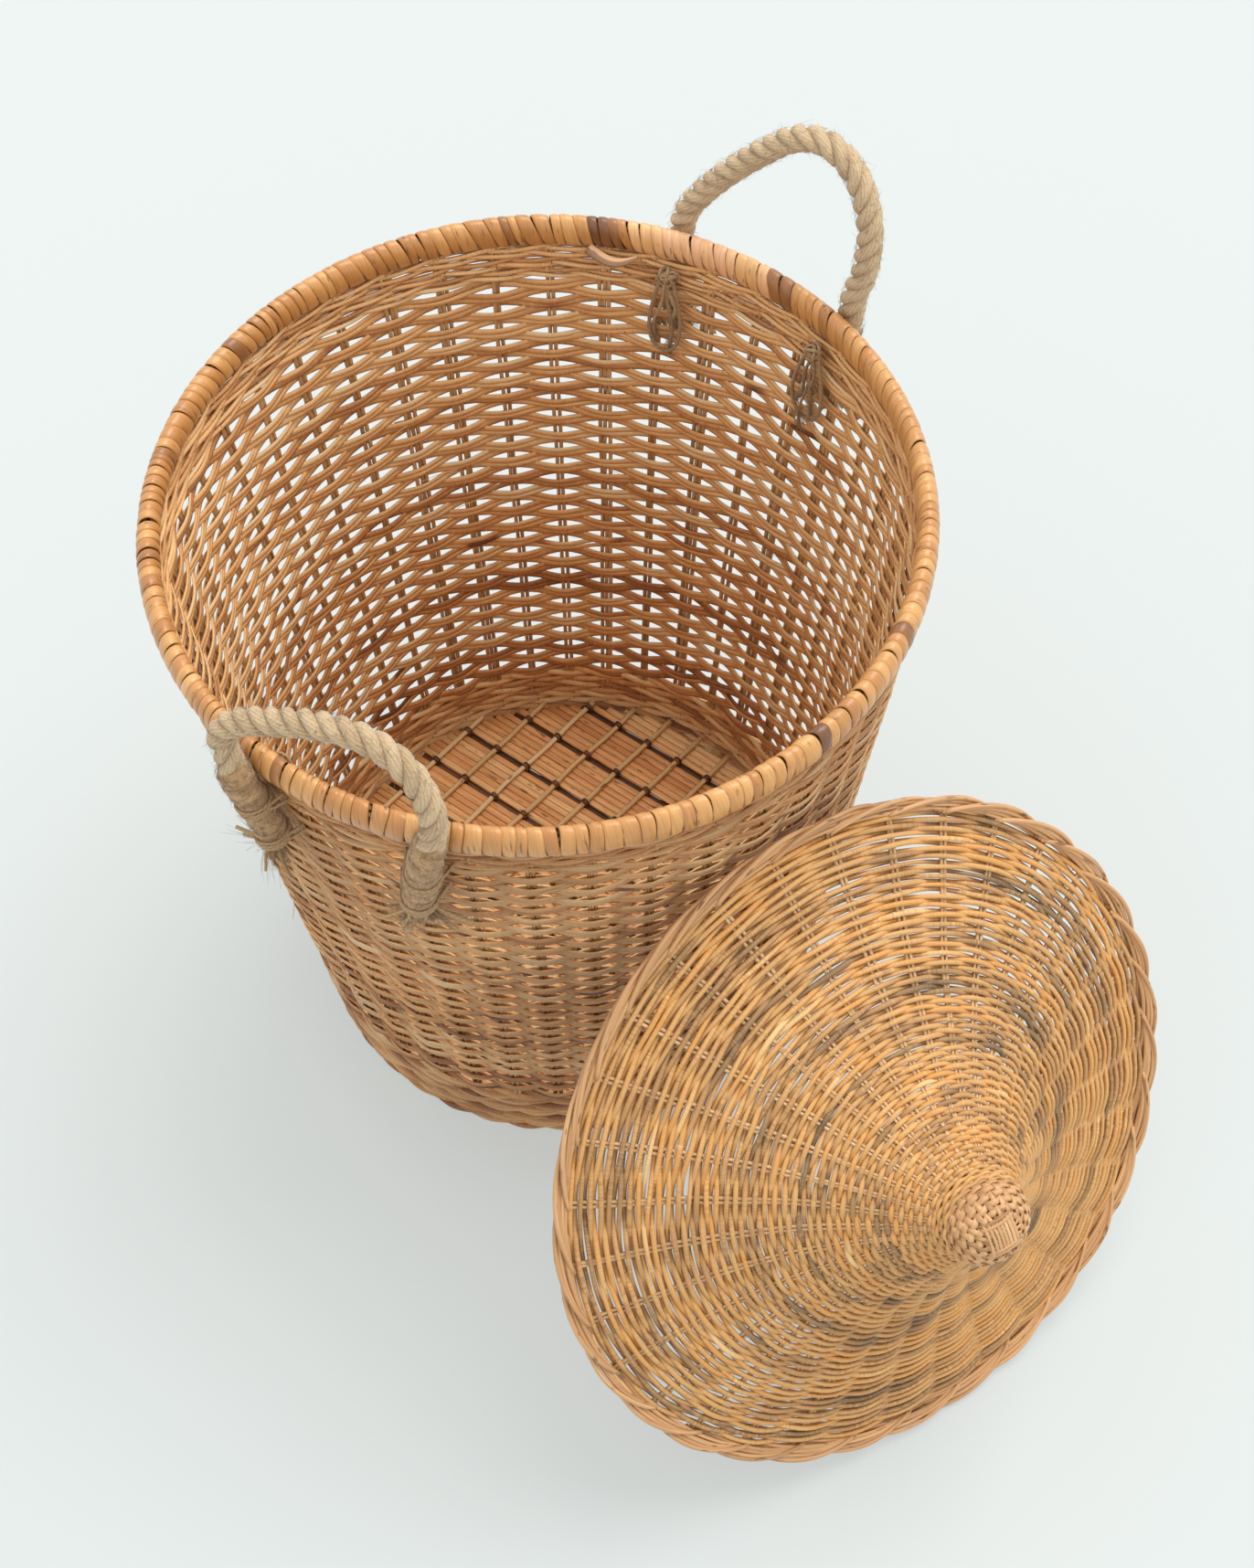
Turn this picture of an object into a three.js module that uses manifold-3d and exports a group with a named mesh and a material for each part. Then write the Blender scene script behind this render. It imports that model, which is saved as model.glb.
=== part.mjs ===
// A round woven laundry basket with a wrapped rim, a slatted floor, two rope handles and a loose conical lid.
// The lid leans against the outside of the wall, with its lower edge on the ground.
// Millimetres, +Z up. The frame's origin is on the ground, at the centre of the footprint's bounding box.
import * as THREE from "three";
import { mergeVertices } from "three/addons/utils/BufferGeometryUtils.js";
import Module from "manifold-3d";

const wasm = await Module();
wasm.setup();

// ---- driving dimensions ----

const GAP = 0.3; // clearance between pieces that touch

const RIM_RADIUS = 225; // outside of the wrapped rim
const HEIGHT = 450; // top of the rim
const RIM_WIDTH = 12.6;
const RIM_HEIGHT = 21.8;
const HOOP_WIDTH = 2.4;
const HOOP_HALF_HEIGHT = 4.5;
const HOOP_SPACING = 1.6; // between the inner and the outer hoop
const WRAP_THICKNESS = 1;
const WRAP_SECTORS = 4;

const FOOT_RADIUS = 163; // outside of the wall's line, at the ground
const WALL_TOP_RADIUS = 220.6; // outside of the wall, under the rim
const WALL_THICKNESS = 8;
const BASE_WALING_TOP = 58;
const FOOT_RING = [-4, -1, 2, 6]; // the foot's outer edge: two steps in from the wall's line, at two heights
const FOOT_INSET = 6; // the foot's inner edge, in from the floor's seat
const SEAT_HEIGHTS = [8, 38]; // between these heights the base waling holds the floor's edge
const TOP_WALING_BOTTOM = 405;

const FLOOR_RADIUS = 157.2;
const BEARER_RADIUS = 4.5;
const BEARER_COUNT = 3;
const BEARER_PITCH = 76.5;
const BAND_BOTTOM = 28.7;
const BAND_THICKNESS = 3;
const BAND_WIDTH = 28.5;
const BAND_PITCH = 32.4;
const BAND_COUNT = 10;
const BAND_ANGLE = -72; // degrees from +X that the slats run at
const ROD_RADIUS = 2;
const ROD_PITCH = 25.5;
const ROD_COUNT = 12;
const ROD_ANGLE = 13.3; // degrees from +X that the rods run at

const ROPE_RADIUS = 8;
const LEG_RADIUS = 8.5; // the rope with its jute sleeve
const LEG_CLEARANCE = 3.2; // between a leg and the wall, where the lashing passes
const HINGE_HEIGHT = 446;
const HINGE_RADIUS = 235;
const LEG_BOTTOM = 372;
const LEG_STRAIGHT_TOP = 418; // above this height a leg leaves the wall and passes outside the rim
const NOSE_SHARE = 0.98; // radius of a rope's round nose, as a share of the rope's
const LASHING_HEIGHTS = [384, 414];
const LASHING_WIDTH = 8;
const LASHING_THICKNESS = 1.6;
const KNOT_SIZE = [5, 7, 6];

const LID_BORDER_RADIUS = 205.5; // centre line of the border
const LID_BORDER_HALF = [6, 5]; // half-width and half-height of the border's section
const LID_TILT = 60; // degrees between the lid's axis and the vertical
const LID_DISTANCE = 320.5; // from the basket's axis to the centre of the lid's border
const LID_THICKNESS = 5.5;
const LID_NECK_RADIUS = 27;
const LID_NECK_HEIGHT = 108;
const LID_KNOB_RADIUS = 25;
const LID_HEIGHT = 136;
const KNOB_COLLAR = 10; // height of the knob's straight part above its neck
const KNOB_THICKNESS = 5;
const PATCH_SIZE = [15, 21, 1.6];
const LID_STRAIGHT_RISE = 62; // the share of the rise that is a straight cone
const LID_FLARE_POWER = 3.5; // how suddenly the cone sweeps up to its knob
const LID_EDGE_LIFT = 2; // the cone's outside at its edge, above the middle of the border
const LID_STEP_POWER = 0.8; // the cone's profile has its steps closer together towards the neck
const LID_LEAN_SHARE = 0.7; // how far the cone's inside lies towards the axis near the neck

// ---- colours ----

const finish = (color, roughness) =>
  new THREE.MeshStandardMaterial({ color, roughness, metalness: 0 });
const PEEL = finish(0xd29a5c, 0.45);
const WEAVE = finish(0xb07a48, 0.6);
const SLAT = finish(0xb97a42, 0.5);
const ROD = finish(0xc79a5a, 0.55);
const JUTE = finish(0xb59a6c, 0.95);
const TWINE = finish(0x94764a, 0.95);
const LID_CANE = finish(0xc4924f, 0.55);

// ---- helpers ----

const radians = THREE.MathUtils.degToRad;

// A closed three.js geometry as a manifold solid.
function solid(geometry) {
  const bare = geometry.index ? geometry.toNonIndexed() : geometry.clone();
  bare.deleteAttribute("normal");
  bare.deleteAttribute("uv");
  const merged = mergeVertices(bare, 1e-4);
  return new wasm.Manifold(
    new wasm.Mesh({
      numProp: 3,
      vertProperties: new Float32Array(merged.attributes.position.array),
      triVerts: new Uint32Array(merged.index.array),
    }),
  );
}

function geometryOf(manifold) {
  const { vertProperties, triVerts } = manifold.getMesh();
  const geometry = new THREE.BufferGeometry();
  geometry.setAttribute("position", new THREE.BufferAttribute(vertProperties, 3));
  geometry.setIndex(new THREE.BufferAttribute(triVerts, 1));
  geometry.computeVertexNormals();
  return geometry;
}

// Turns a closed outline of [radius, height] pairs about the Z axis.
function turned(outline, segments) {
  const points = outline.map(([r, z]) => new THREE.Vector2(r, z));
  return new THREE.LatheGeometry(points, segments).rotateX(Math.PI / 2);
}

// The outline of an ellipse, as [radius, height] pairs that close on the first.
function ellipseOutline(radius, height, halfWidth, halfHeight, steps) {
  return Array.from({ length: steps + 1 }, (_, i) => {
    const a = (2 * Math.PI * (i % steps)) / steps;
    return [radius + halfWidth * Math.cos(a), height + halfHeight * Math.sin(a)];
  });
}

function polygonShape(radius, sides) {
  const corners = Array.from({ length: sides }, (_, i) => {
    const a = (2 * Math.PI * i) / sides;
    return new THREE.Vector2(radius * Math.cos(a), radius * Math.sin(a));
  });
  return new THREE.Shape(corners);
}

// A rope along a curve, with a round nose at each end.
function rope(curve, radius, steps) {
  const sides = 10;
  const tube = new THREE.ExtrudeGeometry(polygonShape(radius, sides), {
    steps,
    extrudePath: curve,
    bevelEnabled: false,
  });
  const noses = [0, 1].map((t) => {
    const ball = new THREE.SphereGeometry(radius * NOSE_SHARE, 10, 6);
    return solid(ball.translate(...curve.getPointAt(t).toArray()));
  });
  return geometryOf(solid(tube).add(noses[0]).add(noses[1]));
}

function named(parent, name, geometry, material) {
  const mesh = new THREE.Mesh(geometry, material);
  mesh.name = name;
  parent.add(mesh);
  return mesh;
}

const polar = (radius, degrees, z) =>
  new THREE.Vector3(radius * Math.cos(radians(degrees)), radius * Math.sin(radians(degrees)), z);

// Outside radius of the wall at height z: a straight cone from the foot to the rim.
const wallTop = HEIGHT - RIM_HEIGHT;
const wallRadius = (z) => FOOT_RADIUS + ((WALL_TOP_RADIUS - FOOT_RADIUS) * z) / wallTop;

// ---- floor ----

function floor() {
  const group = new THREE.Group();
  const disc = (radius, depth, z) =>
    solid(new THREE.CylinderGeometry(radius, radius, depth, 72).rotateX(Math.PI / 2).translate(0, 0, z));

  const bandMiddle = BAND_BOTTOM + BAND_THICKNESS / 2;
  const bandDisc = disc(FLOOR_RADIUS, 2 * BAND_THICKNESS, bandMiddle);
  for (let i = 0; i < BAND_COUNT; i++) {
    const offset = (i - (BAND_COUNT - 1) / 2) * BAND_PITCH;
    const strip = new THREE.BoxGeometry(2 * RIM_RADIUS, BAND_WIDTH, BAND_THICKNESS)
      .translate(0, offset, bandMiddle)
      .rotateZ(radians(BAND_ANGLE));
    named(group, `floor_slats_${i + 1}`, geometryOf(solid(strip).intersect(bandDisc)), SLAT);
  }

  // Round canes across the floor, each cut to the chord that it has room for.
  const canes = (prefix, count, pitch, radius, z) => {
    for (let i = 0; i < count; i++) {
      const offset = (i - (count - 1) / 2) * pitch;
      const reach = Math.abs(offset) + radius;
      const length = 2 * Math.sqrt(FLOOR_RADIUS ** 2 - reach ** 2);
      const cane = new THREE.CylinderGeometry(radius, radius, length, 8)
        .rotateZ(Math.PI / 2)
        .translate(0, offset, z)
        .rotateZ(radians(ROD_ANGLE));
      named(group, `${prefix}_${i + 1}`, cane, ROD);
    }
  };
  canes("floor_bearer", BEARER_COUNT, BEARER_PITCH, BEARER_RADIUS, BAND_BOTTOM - GAP - BEARER_RADIUS);
  canes("floor_rod", ROD_COUNT, ROD_PITCH, ROD_RADIUS, BAND_BOTTOM + BAND_THICKNESS + GAP + ROD_RADIUS);
  return group;
}

// ---- wall ----

// A stretch of the wall between two heights, as thick as the weave.
function wallStretch(bottom, top) {
  const outline = [
    [wallRadius(bottom), bottom],
    [wallRadius(top), top],
    [wallRadius(top) - WALL_THICKNESS, top],
    [wallRadius(bottom) - WALL_THICKNESS, bottom],
    [wallRadius(bottom), bottom],
  ];
  return turned(outline, 64);
}

function wall() {
  const group = new THREE.Group();
  const innerFace = FLOOR_RADIUS + GAP;
  const [edgeInset, bevelInset, bevelHeight, wallStart] = FOOT_RING;
  const [seatBottom, seatTop] = SEAT_HEIGHTS;
  const baseWaling = [
    [FOOT_RADIUS + edgeInset, 0],
    [FOOT_RADIUS + bevelInset, bevelHeight],
    [wallRadius(wallStart), wallStart],
    [wallRadius(BASE_WALING_TOP), BASE_WALING_TOP],
    [wallRadius(BASE_WALING_TOP) - WALL_THICKNESS - 1, BASE_WALING_TOP],
    [innerFace, seatTop],
    [innerFace, seatBottom],
    [innerFace - FOOT_INSET, 0],
    [FOOT_RADIUS + edgeInset, 0],
  ];
  named(group, "base_waling", turned(baseWaling, 64), WEAVE);
  named(group, "wall_weave", wallStretch(BASE_WALING_TOP + GAP, TOP_WALING_BOTTOM - GAP), WEAVE);
  named(group, "top_waling", wallStretch(TOP_WALING_BOTTOM, wallTop - 2 * GAP), WEAVE);
  return group;
}

// ---- rim ----

function rim() {
  const group = new THREE.Group();
  const middle = RIM_RADIUS - RIM_WIDTH / 2;
  const level = HEIGHT - RIM_HEIGHT / 2;
  const hoop = (inside) =>
    turned(
      [
        [inside + HOOP_WIDTH, level - HOOP_HALF_HEIGHT],
        [inside + HOOP_WIDTH, level + HOOP_HALF_HEIGHT],
        [inside, level + HOOP_HALF_HEIGHT],
        [inside, level - HOOP_HALF_HEIGHT],
        [inside + HOOP_WIDTH, level - HOOP_HALF_HEIGHT],
      ],
      10 * WRAP_SECTORS,
    );
  named(group, "rim_hoop_inner", hoop(middle - HOOP_SPACING / 2 - HOOP_WIDTH), ROD);
  named(group, "rim_hoop_outer", hoop(middle + HOOP_SPACING / 2), ROD);

  // The peel wrap is a flat-sided oval sleeve round both hoops, in sectors that meet end to end.
  const oval = (shape, shrink) =>
    shape.absellipse(0, 0, RIM_HEIGHT / 2 - shrink, RIM_WIDTH / 2 - shrink, 0, 2 * Math.PI, false, 0);
  const section = oval(new THREE.Shape(), 0);
  section.holes.push(oval(new THREE.Path(), WRAP_THICKNESS));
  const spare = GAP / middle;
  const sweep = (2 * Math.PI) / WRAP_SECTORS;
  for (let i = 0; i < WRAP_SECTORS; i++) {
    const arc = new SectorArc(middle, level, i * sweep + spare / 2, (i + 1) * sweep - spare / 2);
    const sleeve = new THREE.ExtrudeGeometry(section, {
      steps: 10,
      curveSegments: 5,
      extrudePath: arc,
      bevelEnabled: false,
    });
    named(group, `rim_wrap_${i + 1}`, sleeve, PEEL);
  }
  return group;
}

// A level arc about the Z axis.
class SectorArc extends THREE.Curve {
  constructor(radius, z, start, end) {
    super();
    Object.assign(this, { radius, z, start, end });
  }
  getPoint(t) {
    const a = this.start + (this.end - this.start) * t;
    return new THREE.Vector3(this.radius * Math.cos(a), this.radius * Math.sin(a), this.z);
  }
}

// ---- rope handles ----

// legs: the degrees from +X of each leg at its hinge and at its lower end.
// lean: degrees that the loop leans outwards. route: the loop's points between its hinges, as
// [along the chord from its middle, up the loop's own plane].
const HANDLES = [
  {
    name: "back_handle",
    legs: [
      { top: 34, bottom: 33.4 },
      { top: 3.7, bottom: 5 },
    ],
    lean: 8,
    route: [
      [-57, 9], [-48, 26], [-32, 49], [-11, 74], [8, 93], [27, 101],
      [46, 95], [59, 78], [66, 54], [66, 26], [62, 9],
    ],
  },
  {
    name: "front_handle",
    legs: [
      { top: 192.5, bottom: 195.5 },
      { top: 221.5, bottom: 218 },
    ],
    lean: -5,
    route: [
      [-61, 9], [-64, 24], [-53, 41], [-25, 58], [2, 70], [25, 74],
      [43, 69], [56, 56], [63, 38], [64, 22], [61, 9],
    ],
  },
];

function handle({ name, legs, lean, route }) {
  const group = new THREE.Group();
  const hinges = legs.map((leg) => polar(HINGE_RADIUS, leg.top, HINGE_HEIGHT));
  const middle = hinges[0].clone().add(hinges[1]).multiplyScalar(0.5);
  const along = hinges[1].clone().sub(hinges[0]).normalize();
  const outward = new THREE.Vector3(middle.x, middle.y, 0).normalize();
  const upward = outward.clone().multiplyScalar(Math.sin(radians(lean))).setZ(Math.cos(radians(lean)));
  const points = route.map(([s, v]) => middle.clone().addScaledVector(along, s).addScaledVector(upward, v));
  const loop = new THREE.CatmullRomCurve3(points, false, "centripetal");
  named(group, `${name}_loop`, rope(loop, ROPE_RADIUS, 26), JUTE);

  legs.forEach((leg, i) => {
    const side = i + 1;
    const azimuth = (z) => {
      const t = (z - LEG_BOTTOM) / (HINGE_HEIGHT - LEG_BOTTOM);
      return leg.bottom + (leg.top - leg.bottom) * t;
    };
    const onWall = (z) => polar(wallRadius(z) + LEG_CLEARANCE + LEG_RADIUS, azimuth(z), z);
    const lower = LEG_BOTTOM + LEG_RADIUS;
    const upper = HINGE_HEIGHT - LEG_RADIUS - 1;
    const path = new THREE.CatmullRomCurve3([
      onWall(lower),
      onWall((lower + LEG_STRAIGHT_TOP) / 2),
      onWall(LEG_STRAIGHT_TOP),
      polar(HINGE_RADIUS, azimuth(upper), upper),
    ]);
    named(group, `${name}_leg_${side}`, rope(path, LEG_RADIUS, 6), JUTE);

    LASHING_HEIGHTS.forEach((z, j) => {
      const inside = LEG_RADIUS + 2 * GAP;
      const outside = inside + LASHING_THICKNESS;
      const ring = turned(
        [
          [outside, -LASHING_WIDTH / 2],
          [outside, LASHING_WIDTH / 2],
          [inside, LASHING_WIDTH / 2],
          [inside, -LASHING_WIDTH / 2],
          [outside, -LASHING_WIDTH / 2],
        ],
        12,
      );
      const mesh = named(group, `${name}_lashing_${side}${"ab"[j]}`, ring, TWINE);
      mesh.position.copy(onWall(z));
      const upLeg = onWall(z + 1).sub(onWall(z - 1)).normalize();
      mesh.quaternion.setFromUnitVectors(new THREE.Vector3(0, 0, 1), upLeg);
    });

    const knotZ = LASHING_HEIGHTS[1];
    const knot = new THREE.SphereGeometry(1, 8, 6).scale(...KNOT_SIZE);
    const knotMesh = named(group, `${name}_knot_${side}`, knot, TWINE);
    const knotRadius = wallRadius(knotZ) - WALL_THICKNESS - KNOT_SIZE[0] - 2 * GAP;
    knotMesh.position.copy(polar(knotRadius, azimuth(knotZ), knotZ));
    knotMesh.rotation.z = radians(azimuth(knotZ));
  });
  return group;
}

// ---- lid ----

// Height of the lid's outside above the plane of its border, at a radius: a cone that sweeps up to the knob.
function lidHeight(r) {
  const edge = LID_BORDER_RADIUS - LID_BORDER_HALF[0];
  const inward = Math.max((edge - r) / (edge - LID_NECK_RADIUS), 0);
  const flare = LID_NECK_HEIGHT - LID_STRAIGHT_RISE - LID_EDGE_LIFT;
  return LID_EDGE_LIFT + LID_STRAIGHT_RISE * inward + flare * inward ** LID_FLARE_POWER;
}

function lid() {
  const group = new THREE.Group();
  const [halfWidth, halfHeight] = LID_BORDER_HALF;
  const border = ellipseOutline(LID_BORDER_RADIUS, 0, halfWidth, halfHeight, 8);
  named(group, "lid_border", turned(border, 48), LID_CANE);

  const steps = 8;
  const edge = LID_BORDER_RADIUS - halfWidth - GAP;
  const reachIn = (i) => (LID_NECK_RADIUS - edge) * (i / steps) ** LID_STEP_POWER;
  const radii = Array.from({ length: steps + 1 }, (_, i) => edge + reachIn(i));
  const outside = radii.map((r) => [r, lidHeight(r)]);
  const leanIn = (r) => (LID_THICKNESS * (edge - r) * LID_LEAN_SHARE) / edge;
  const inside = outside.map(([r, z]) => [r - leanIn(r), z - LID_THICKNESS]);
  named(group, "lid_weave", turned([...outside, ...inside.reverse(), outside[0]], 48), LID_CANE);

  const shell = (radius, top, bottom) => {
    const quarter = Array.from({ length: 6 }, (_, i) => {
      const a = (Math.PI / 2) * (i / 5);
      return [radius * Math.cos(a), bottom + (top - bottom) * Math.sin(a)];
    });
    quarter[5][0] = 0;
    return quarter;
  };
  const neck = LID_NECK_HEIGHT + GAP;
  const dome = LID_NECK_HEIGHT + KNOB_COLLAR;
  const knob = [
    [LID_NECK_RADIUS, neck],
    ...shell(LID_KNOB_RADIUS, LID_HEIGHT, dome),
    ...shell(LID_KNOB_RADIUS - KNOB_THICKNESS, LID_HEIGHT - KNOB_THICKNESS, dome).reverse(),
    [LID_NECK_RADIUS - KNOB_THICKNESS, neck],
    [LID_NECK_RADIUS, neck],
  ];
  named(group, "lid_knob", turned(knob, 24), LID_CANE);
  named(
    group,
    "lid_knob_patch",
    new THREE.BoxGeometry(...PATCH_SIZE).translate(0, 0, LID_HEIGHT + GAP + PATCH_SIZE[2] / 2),
    LID_CANE,
  );

  // Leaning: the axis points away from the basket, and the border's lowest point touches the ground.
  const tilt = radians(LID_TILT);
  const reach = Math.hypot(halfWidth * Math.sin(tilt), halfHeight * Math.cos(tilt));
  group.rotation.x = tilt;
  group.position.set(0, -LID_DISTANCE, LID_BORDER_RADIUS * Math.sin(tilt) + reach);
  return group;
}

// ---- assembly ----

const set = new THREE.Group();
set.add(floor(), wall(), rim(), ...HANDLES.map(handle), lid());

// Bring the centre of the footprint's bounding box to the origin.
const bounds = new THREE.Box3().setFromObject(set, true);
const centre = bounds.getCenter(new THREE.Vector3());
set.position.set(-centre.x, -centre.y, 0);

const group = new THREE.Group();
group.add(set);

export default group;
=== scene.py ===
"""A woven laundry basket with a wrapped rim, a slatted floor, two rope handles and a leaning conical lid.

Metres, +Z up. Every strand of cane, twine and rope is its own swept surface, worked out with numpy.
A swept piece carries two attributes for its material: "strand", the point's place in the straightened
strand (along, sideways, outwards, in metres), and "tint", a value from 0 to 1 that picks its colour.
"""

import logging
from dataclasses import dataclass
from enum import Enum

import bpy
import numpy as np
from mathutils import Matrix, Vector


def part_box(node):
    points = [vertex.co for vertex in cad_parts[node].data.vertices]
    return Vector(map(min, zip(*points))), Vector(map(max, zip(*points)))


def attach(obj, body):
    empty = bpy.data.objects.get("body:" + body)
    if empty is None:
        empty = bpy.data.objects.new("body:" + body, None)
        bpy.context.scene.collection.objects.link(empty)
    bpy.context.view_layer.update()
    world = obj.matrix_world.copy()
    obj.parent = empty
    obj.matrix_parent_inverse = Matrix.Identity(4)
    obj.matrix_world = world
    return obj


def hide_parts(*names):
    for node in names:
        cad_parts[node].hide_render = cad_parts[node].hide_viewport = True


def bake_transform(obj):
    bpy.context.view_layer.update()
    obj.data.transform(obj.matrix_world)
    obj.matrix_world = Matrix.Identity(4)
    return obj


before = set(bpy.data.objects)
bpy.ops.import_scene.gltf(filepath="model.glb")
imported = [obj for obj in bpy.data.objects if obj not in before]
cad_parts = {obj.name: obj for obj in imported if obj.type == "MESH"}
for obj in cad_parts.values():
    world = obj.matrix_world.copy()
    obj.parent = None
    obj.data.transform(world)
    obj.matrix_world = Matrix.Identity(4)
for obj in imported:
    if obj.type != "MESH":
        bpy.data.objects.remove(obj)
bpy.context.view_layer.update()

MM = 0.001
TURN = 2 * np.pi
UP = np.array([0.0, 0.0, 1.0])
LOG = logging.getLogger("basket")

Array = np.ndarray
Values = np.ndarray | float
Random = np.random.Generator
Socket = bpy.types.NodeSocket
Material = bpy.types.Material
Materials = dict[str, bpy.types.Material]
Groups = dict[str, bpy.types.NodeTree]
Colour = tuple[float, float, float, float]
Stops = tuple[tuple[float, Colour], ...]


class Body(Enum):
    """The moving bodies that pieces ride on."""

    BASKET = "basket"
    LID = "lid"
    BACK_HANDLE = "back_handle"
    FRONT_HANDLE = "front_handle"


class Slot(Enum):
    """The record's material slots."""

    RIM_PEEL = "rim_peel"
    HOOP = "hoop_cane"
    SLAT = "slat_cane"
    ROUND = "round_cane"
    WALL = "wall_cane"
    LID = "lid_cane"
    ROPE = "jute_rope"
    TWINE = "jute_twine"


# ---- surfaces ----


@dataclass
class Surface:
    """The arrays of one mesh: points, four-sided faces, end caps, and what its material reads."""

    points: Array
    quads: Array
    caps: list[Array]
    strand: Array
    tint: Array

    @property
    def triangles(self) -> int:
        """How many triangles the faces make."""
        return 2 * len(self.quads) + sum(len(c) * (c.shape[1] - 2) for c in self.caps)


def joined(*parts: Surface) -> Surface:
    """Put several surfaces into one, each one's faces counting on from the last one's points.

    Args:
        parts: the surfaces, in order.

    Returns:
        One surface that holds them all.
    """
    starts = np.cumsum([0] + [len(p.points) for p in parts[:-1]])
    return Surface(
        points=np.concatenate([p.points for p in parts]),
        quads=np.concatenate([p.quads + s for p, s in zip(parts, starts)]),
        caps=[c + s for p, s in zip(parts, starts) for c in p.caps],
        strand=np.concatenate([p.strand for p in parts]),
        tint=np.concatenate([p.tint for p in parts]),
    )


def unit(vectors: Array) -> Array:
    """Scale vectors, along the last axis, to length one."""
    return vectors / np.maximum(np.linalg.norm(vectors, axis=-1, keepdims=True), 1e-12)


def ring_faces(strands: int, steps: int, sides: int, closed: bool) -> tuple[Array, list[Array]]:
    """Index the faces of tubes whose points are numbered [strand, step, side].

    Args:
        strands: how many tubes.
        steps: rings of points along each tube.
        sides: points round each ring.
        closed: whether the last ring joins the first; an open tube gets a cap at each end.

    Returns:
        The four-sided faces, and the list of cap arrays.
    """
    index = np.arange(strands * steps * sides).reshape(strands, steps, sides)
    onward = np.roll(index, -1, axis=1)
    here, there = (index, onward) if closed else (index[:, :-1], onward[:, :-1])
    quads = np.stack([here, np.roll(here, -1, 2), np.roll(there, -1, 2), there], axis=-1).reshape(-1, 4)
    caps = [] if closed else [index[:, 0, ::-1], index[:, -1, :]]
    return quads, caps


def sweep(
    paths: Array,
    outward: Array,
    half_width: Values,
    half_thickness: Values,
    tint: Values,
    sides: int = 6,
    closed: bool = False,
    squareness: float = 0.75,
) -> Surface:
    """Carry a rounded flat section along many paths at once.

    With the side direction S = outward x tangent, the section's point at angle a is
    centre + S * half_width * cos(a)^p + outward * half_thickness * sin(a)^p, where ^p keeps the sign
    and p below 1 makes the section squarer.

    Args:
        paths: centre lines, numbered [strand, step, xyz].
        outward: the direction that the section's flat face looks, of the same shape or broadcastable.
        half_width: half the section's width, per strand and step or one value.
        half_thickness: half its thickness, likewise.
        tint: the colour value, per strand (and step) or one value.
        sides: points round the section.
        closed: whether each path joins its own start.
        squareness: the power p.

    Returns:
        The surface of all the strands.
    """
    strands, steps, _ = paths.shape
    if closed:
        tangent = unit(np.roll(paths, -1, axis=1) - np.roll(paths, 1, axis=1))
    else:
        tangent = unit(np.gradient(paths, axis=1))
    facing = np.broadcast_to(outward, paths.shape)
    facing = unit(facing - tangent * np.sum(facing * tangent, axis=-1, keepdims=True))
    side = np.cross(facing, tangent)
    angle = TURN * (np.arange(sides) + 0.5) / sides
    cosine = np.sign(np.cos(angle)) * np.abs(np.cos(angle)) ** squareness
    sine = np.sign(np.sin(angle)) * np.abs(np.sin(angle)) ** squareness
    across = np.broadcast_to(half_width, (strands, steps))[..., None] * cosine
    out = np.broadcast_to(half_thickness, (strands, steps))[..., None] * sine
    points = paths[:, :, None] + side[:, :, None] * across[..., None] + facing[:, :, None] * out[..., None]
    lengths = np.linalg.norm(np.diff(paths, axis=1, prepend=paths[:, :1]), axis=-1)
    along = np.cumsum(lengths, axis=1) + np.arange(strands)[:, None] * 0.731
    strand = np.stack([np.broadcast_to(along[..., None], across.shape), across, out], axis=-1)
    tints = np.asarray(tint, float)
    tints = tints[:, None] if tints.ndim == 1 else tints
    quads, caps = ring_faces(strands, steps, sides, closed)
    return Surface(
        points=points.reshape(-1, 3),
        quads=quads,
        caps=caps,
        strand=strand.reshape(-1, 3),
        tint=np.broadcast_to(np.broadcast_to(tints, (strands, steps))[..., None], across.shape).ravel(),
    )


def smooth_path(points: Array, spacing: float) -> Array:
    """Run a smooth line through points: each stretch is the Catmull-Rom cubic of its four nearest points.

    Args:
        points: the points to pass through, [point, xyz].
        spacing: the distance wanted between the line's own points.

    Returns:
        Evenly spaced points along the line.
    """
    padded = np.concatenate([2 * points[:1] - points[1:2], points, 2 * points[-1:] - points[-2:-1]])
    before, start, end, after = (padded[i : len(padded) - 3 + i, None] for i in range(4))
    t = np.linspace(0, 1, 24, endpoint=False)[None, :, None]
    cubic = 0.5 * (
        2 * start
        + (end - before) * t
        + (2 * before - 5 * start + 4 * end - after) * t**2
        + (3 * start - before - 3 * end + after) * t**3
    )
    line = np.concatenate([cubic.reshape(-1, 3), points[-1:]])
    travelled = np.concatenate([[0], np.cumsum(np.linalg.norm(np.diff(line, axis=0), axis=1))])
    wanted = np.linspace(0, travelled[-1], max(int(round(travelled[-1] / spacing)), 3) + 1)
    return np.stack([np.interp(wanted, travelled, line[:, axis]) for axis in range(3)], axis=1)


def waves(rng: Random, rows: int, angles: Array, counts: range) -> Array:
    """Add up sine waves round a circle, each row with its own strengths and phases.

    Args:
        rng: the source of chance.
        rows: how many rows.
        angles: the angles round the circle.
        counts: how many whole waves fit round it, for each sine.

    Returns:
        Values of about -1 to 1, [row, angle].
    """
    many = np.array(list(counts))
    strength = rng.normal(size=(rows, len(many), 1)) / np.sqrt(len(many))
    phase = rng.uniform(0, TURN, (rows, len(many), 1))
    return np.sum(strength * np.sin(many[None, :, None] * angles + phase), axis=1)


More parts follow.
